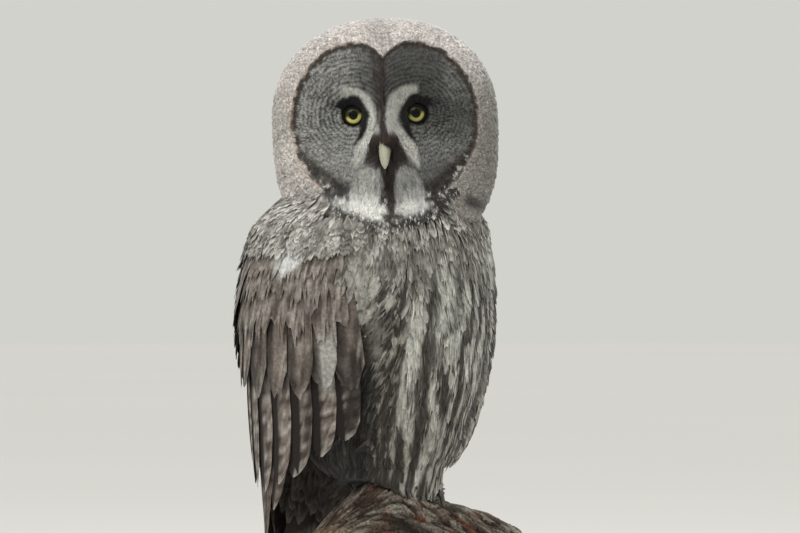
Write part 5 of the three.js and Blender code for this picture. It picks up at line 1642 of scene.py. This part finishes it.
for side, word in ((-1, "right"), (1, "left")):
    points = head_in_metres(ring + eye_centre(side))
    lid = surface_mesh(f"lid_rim_{word}", points, grid_faces(len(ring), EYE_ROUND, True)[:, ::-1], lid_finish)
    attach(lid, "root")
    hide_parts(f"eyelids_{word}")

# Bill
# Ivory-yellow horn, out of the face and hooked down, with a nostril on each side near its root. The lower
# half shuts up behind the hook.
BILL = {"front": 41, "up": -12, "out": 20, "hook": 32}
UPPER_SIZES = [(5.8, 8.4), (5.6, 8.0), (5.4, 6.6), (3.9, 3.8), (0.9, 0.9)]
LOWER_SIZES = [(5.4, 5), (4.6, 4.8), (2.8, 2.6)]
UPPER_GRID = {"around": 36, "count": 48}
LOWER_GRID = {"around": 28, "count": 24}
horn_finish, node, set_shader = new_material("bill_horn", 0.34)
grain = node("TexNoise", "Fac", Vector=node("TexCoord", "Object"), Scale=900.0, Detail=4.0)
bump = node("Bump", "Normal", Strength=0.25, Distance=0.0004, Height=grain)
set_shader(Base_Color=carried_shade(node, grain, 0.3, 0.7, 0.85, 1.12), Normal=bump)
set_shader(Coat_Weight=0.25, Coat_Roughness=0.2)


def capped(rings, place, finish, name, shade):
    """A closed piece from rings along it: each end is drawn to its middle by two last rings, small and then
    nearly nothing."""
    ends = []
    for ring, middle in ((rings[0], rings[0].mean(0)), (rings[-1], rings[-1].mean(0))):
        ends.append(np.stack([middle + (ring - middle) * share for share in (0.5, 0.02)]))
    whole = np.concatenate([ends[0][::-1], rings, ends[1]])
    paint = np.concatenate([shade[:1], shade[:1], shade, shade[-1:], shade[-1:]])
    faces = grid_faces(len(whole), whole.shape[1], True)
    return surface_mesh(name, place(whole), faces, finish, None, {"shade": paint})


front, up, out, hook = BILL["front"], BILL["up"], BILL["out"], BILL["hook"]
line = [(-0.6, -front, up - 3), (-0.8, -front - 0.62 * out, up - 0.18 * hook)]
line += [(-1.0, -front - out, up - 0.44 * hook), (-1.2, -front - 0.96 * out, up - 0.8 * hook)]
line.append((-1.2, -front - 0.84 * out, up - hook))
rings = spine(line, UPPER_SIZES, **UPPER_GRID)
share = np.linspace(0, 1, len(rings))[:, None]
around = np.linspace(0, 2 * math.pi, UPPER_GRID["around"], endpoint=False)[None, :]
for side in (-1, 1):
    nostril = np.array([side * 6.0, -front - 12.5, up - 4.5])
    near = np.exp(-((np.linalg.norm(rings - nostril, axis=-1) / 1.6) ** 2))
    rings[..., 0] -= side * 1.3 * near
culmen = np.exp(-((np.angle(np.exp(1j * (around - math.pi / 2))) / 0.5) ** 2))
share, culmen = np.broadcast_arrays(share, culmen)
base = blend(tone(150, 148, 124), tone(172, 170, 150), share)
base = blend(base, tone(104, 98, 76), 0.6 * (1 - smooth(share, 0.0, 0.4)))
base = blend(base, tone(192, 190, 172), 0.35 * culmen)
# Painted shade darkens the bill's left side
base = blend(base, tone(96, 96, 78), 0.6 * smooth(rings[..., 0], 0.0, 3.0))
bill_upper = capped(rings, head_in_metres, horn_finish, "bill_top", base)
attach(bill_upper, "root")
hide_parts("bill_upper")
line = [(0, -front, up - 0.46 * hook), (0, -front - 0.44 * out, up - 0.54 * hook)]
line.append((0, -front - 0.68 * out, up - 0.76 * hook))
rings = spine(line, LOWER_SIZES, **LOWER_GRID)
base = np.broadcast_to(tone(112, 106, 86), rings.shape)
bill_lower = capped(rings, head_in_metres, horn_finish, "bill_base", base)
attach(bill_lower, "root")
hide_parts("bill_lower")

# Claws
# Black, curved horn at each toe's end, gripping the bark. Points of a claw's middle: mm towards the bird's
# own middle, degrees past the toe's end, and mm off the bark
CLAW_LINE = [(1, -3, 6), (0, 10, 8), (0, 23, 1.8)]
CLAW_SIZES = [(3.2, 3.4), (2.6, 2.8), (0.6, 0.7)]
claw_finish, node, set_shader = new_material("claw_horn", 0.28)
grain = node("TexNoise", "Fac", Vector=node("TexCoord", "Object"), Scale=700.0, Detail=3.0)
set_shader(Base_Color=two_tones(node, grain, tone(20, 18, 17), tone(58, 52, 48)), Coat_Weight=0.3)
for side, word in ((-1, "right"), (1, "left")):
    for toe, (start, end, spread) in TOES.items():
        middle = side * (FOOT_APART + spread)
        ahead = 1 if end > 0 else -1
        line = [
            round_perch(middle - side * aside, end + ahead * beyond, PERCH["radius"] + off)
            for aside, beyond, off in CLAW_LINE
        ]
        rings = spine(line, CLAW_SIZES, 18, 14)
        claw = capped(rings, log_in_metres, claw_finish, f"talon_{word}_{toe}", np.ones_like(rings))
        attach(claw, "root")
        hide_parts(f"claw_{word}_{toe}")

# Perch
# A short length of weathered log under its bark, sawn off at the bird's left and broken away at its right.
bark_finish, node, set_shader = new_material("bark", 0.92)
place = node("TexCoord", "Object")
grain = node("TexNoise", "Fac", Vector=place, Scale=380.0, Detail=5.0, Roughness=0.65)
bump = node("Bump", "Normal", Strength=0.7, Distance=0.0012, Height=grain)
set_shader(Base_Color=carried_shade(node, grain, 0.34, 0.66, 0.3, 1.6), Normal=bump, Specular_IOR_Level=0.2)
BARK_DARK = tone(34, 28, 23)
BARK_BROWN = tone(70, 57, 48)
BARK_GREY = tone(106, 97, 88)
LICHEN = tone(140, 138, 126)
BARK_RED = tone(104, 60, 44)
WOOD_PALE = tone(186, 160, 124)
WOOD_RING = tone(140, 112, 80)
LOG_AROUND = 256
KNOB = {"at": -46, "half": 13, "high": 9.5, "turned": -0.1, "wide": 0.7}


def bark_noise(station, turn, fine, offset, step, seed):
    """Smooth noise on the log without a seam: read at the cosine and the sine of the turn, at a fineness,
    and moved on evenly along the log by a step."""
    return ripple(np.cos(turn) * fine + offset, np.sin(turn) * fine + station / step, seed)


station = np.concatenate([np.linspace(-112, -60, 70), np.linspace(-59.4, 137, 260), [137.7, 138]])[:, None]
turn = np.linspace(0, 2 * math.pi, LOG_AROUND, endpoint=False)[None, :]
broken = np.maximum(0, (-station - PERCH["broken_from"]) / (PERCH["right"] - PERCH["broken_from"]))
shrink = 1 - 0.78 * broken**1.3
drop = PERCH["radius"] * 0.8 * broken**1.2
drop = drop + PERCH["bend"] * np.maximum(0, station - PERCH["bend_from"]) ** 2
ridge = 1.1 * np.sin(9 * turn + station / 40) + 0.8 * np.sin(4 * turn - station / 25)
off_top = np.arctan2(np.cos(turn), np.sin(turn))
knob = ((station - KNOB["at"]) / KNOB["half"]) ** 2
ridge = ridge + KNOB["high"] * np.exp(-knob - ((off_top - KNOB["turned"]) / KNOB["wide"]) ** 2)
crack = np.abs(ripple(turn / (2 * math.pi) * 24 + 0.5 * np.sin(turn), station / 24, 93) - 0.5)
crack = np.minimum(crack, np.abs(bark_noise(station, turn, 6, 9, 34, 94) - 0.5))
fissure = 1 - smooth(crack, 0.0, 0.085)
rough = 1.8 * (bark_noise(station, turn, 11, 40, 7, 95) - 0.5)
rough = rough + 3.0 * (bark_noise(station, turn, 4, 15, 16, 90) - 0.5)
depth = ridge - 3.2 * fissure * (1 - 0.3 * broken) + rough
torn = smooth(broken, 0.02, 0.3)
splinter = torn * 3.0 * (bark_noise(station, turn, 14, 20, 60, 96) - 0.5)
r = (PERCH["radius"] - 0.6) * shrink + depth * shrink * (1 - 0.5 * torn) + splinter * shrink
rings = np.stack(np.broadcast_arrays(station, r * np.cos(turn), r * np.sin(turn) - drop), -1)
patchy = bark_noise(station, turn, 3, 7, 38, 97)
lichen = smooth(bark_noise(station, turn, 9, 3, 9, 98), 0.68, 0.8)
red = smooth(bark_noise(station, turn, 8, 30, 8, 99), 0.8, 0.9)
bare = smooth(broken, 0.55, 0.8) * smooth(splinter, -0.6, 0.8)
paint = blend(BARK_BROWN, BARK_GREY, smooth(patchy + 0.3 * rough, 0.35, 0.7))
# The cracks are dark of their own, with painted shade in them
paint = blend(paint, BARK_DARK, 0.85 * fissure)
paint = blend(paint, LICHEN, 0.6 * lichen)
paint = blend(paint, BARK_RED, 0.7 * red)
# Painted shade where the bark lies lower
paint = blend(paint, BARK_DARK, 0.6 * smooth(-rough, 0.3, 1.4))
paint = blend(paint, (WOOD_RING + BARK_GREY) / 2, 0.75 * bare)
inward = np.linspace(0.97, 0.02, 40)[:, None, None]
sawn = rings[-1] * [1, 0, 0] + (rings[-1] * [0, 1, 1]) * inward
sawn_r = np.hypot(sawn[..., 1], sawn[..., 2])
year = 0.5 + 0.5 * np.sin(sawn_r * 2.6 + 1.5 * np.sin(3 * turn))
sawn_paint = blend(WOOD_PALE, WOOD_RING, 0.8 * year)
sawn_paint = blend(sawn_paint, BARK_DARK, smooth(sawn_r, 41, 43.5))
tip = rings[0].mean(0) + (rings[0] - rings[0].mean(0)) * np.array([0.02, 0.35, 0.7])[:, None, None]
rings = np.concatenate([tip, rings, sawn])
paint = np.concatenate([np.broadcast_to(WOOD_RING, tip.shape), paint, sawn_paint])
faces = grid_faces(len(rings), LOG_AROUND, True)
log = surface_mesh("log", log_in_metres(rings), faces, bark_finish, None, {"shade": paint})
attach(log, "root")
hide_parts("perch")

# Rods
# Two short steel rods, each with a low collar where it meets the plinth, hold the log up.
GAP = 0.3
ROD = {"half": 6.5, "collar": 11.4, "collar_high": 4.2, "into_log": 26, "around": 64}
steel, node, set_shader = new_material("brushed_steel", 0.32)
slim = node("Mapping", "Vector", Vector=node("TexCoord", "Object"), Scale=(60.0, 60.0, 2600.0))
brushed = node("TexNoise", "Fac", Vector=slim, Scale=1.0, Detail=3.0)
shine = node("MapRange", "Result", _0=brushed, _1=0.3, _2=0.7, _3=0.24, _4=0.42)
set_shader(Base_Color=two_tones(node, brushed, tone(120, 122, 124), tone(176, 178, 180)))
set_shader(Roughness=shine, Metallic=1.0)
turn = np.linspace(0, 2 * math.pi, ROD["around"], endpoint=False)[None, :]


def turned_rings(profile, turn, middle=0.0):
    """Rings of a turned piece from its profile of (half width, height), about an upright at a place
    across."""
    profile = np.array(profile)[:, :, None]
    wide, level = profile[:, 0], profile[:, 1]
    return np.stack(np.broadcast_arrays(middle + wide * np.cos(turn), wide * np.sin(turn), level), -1)


for lengthwise, word in ((-52, "right"), (62, "left")):
    top = -PERCH["radius"] - lengthwise * math.tan(PERCH["slope"]) - ROD["into_log"]
    low = PLINTH_TOP + GAP - BIRD_PLACE[2]
    half, collar, high = ROD["half"], ROD["collar"], low + ROD["collar_high"]
    profile = [(0.1, low), (collar - 0.4, low), (collar, low + 0.5), (collar, high - 1)]
    profile += [(collar - 0.6, high - 0.2), (half + 0.7, high), (half, high + 0.6)]
    profile += [(half, (low + top) / 2), (half, top - 0.5), (half - 0.5, top), (0.1, top)]
    ring = turned_rings(profile, turn, lengthwise)
    rod = surface_mesh(f"rod_{word}", in_metres(ring), grid_faces(len(profile), ROD["around"], True), steel)
    sharp = rod.modifiers.new("edges", "EDGE_SPLIT")
    sharp.split_angle = math.radians(35)
    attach(rod, "root")
    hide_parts(f"stand_rod_{word}")

# Plinth
# A turned disc of dark wood with an eased upper edge, under satin varnish.
PLINTH = {"half": 150, "ease": 3, "around": 192}
wood, node, set_shader = new_material("plinth_wood", 0.38)
place = node("TexCoord", "Object")
long_grain = node("Mapping", "Vector", Vector=place, Scale=(4.0, 46.0, 46.0))
warp = node("TexNoise", "Color", Vector=place, Scale=5.0, Detail=2.0)
bent = node("VectorMath", "Vector", {"operation": "MULTIPLY_ADD"}, _0=warp, _1=(1.5, 1.5, 1.5), _2=long_grain)
figure = node("TexNoise", "Fac", Vector=bent, Scale=1.0, Detail=6.0, Roughness=0.6)
pore_map = node("Mapping", "Vector", Vector=place, Scale=(60.0, 900.0, 900.0))
pores = node("TexNoise", "Fac", Vector=pore_map, Scale=1.0, Detail=2.0)
ground = two_tones(node, figure, tone(44, 29, 20), tone(104, 74, 51), 0.3, 0.72)
dark = node("MapRange", "Result", _0=pores, _1=0.35, _2=0.5, _3=0.7, _4=1.0)
paint = node("VectorMath", "Vector", {"operation": "SCALE"}, _0=ground, Scale=dark)
bump = node("Bump", "Normal", Strength=0.2, Distance=0.0004, Height=pores)
set_shader(Base_Color=paint, Normal=bump, Coat_Weight=0.35, Coat_Roughness=0.25)
turn = np.linspace(0, 2 * math.pi, PLINTH["around"], endpoint=False)[None, :]
half, ease = PLINTH["half"], PLINTH["ease"]
eased = [(half - ease + ease * math.cos(a), 19 + ease * math.sin(a)) for a in np.linspace(0, math.pi / 2, 9)]
profile = [(0.2, 0.0), (60, 0.0), (half - 1, 0.0), (half, 1.0), (half, 10), *eased]
profile += [(146.2, 21.6), (144.0, 21.4)] + [(wide, PLINTH_TOP) for wide in (142.8, 100, 50, 0.2)]
ring = turned_rings(profile, turn) / 1000
plinth = surface_mesh("turned_plinth", ring, grid_faces(len(profile), PLINTH["around"], True), wood)
sharp = plinth.modifiers.new("edges", "EDGE_SPLIT")
sharp.split_angle = math.radians(40)
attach(plinth, "root")
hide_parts("stand_plinth")
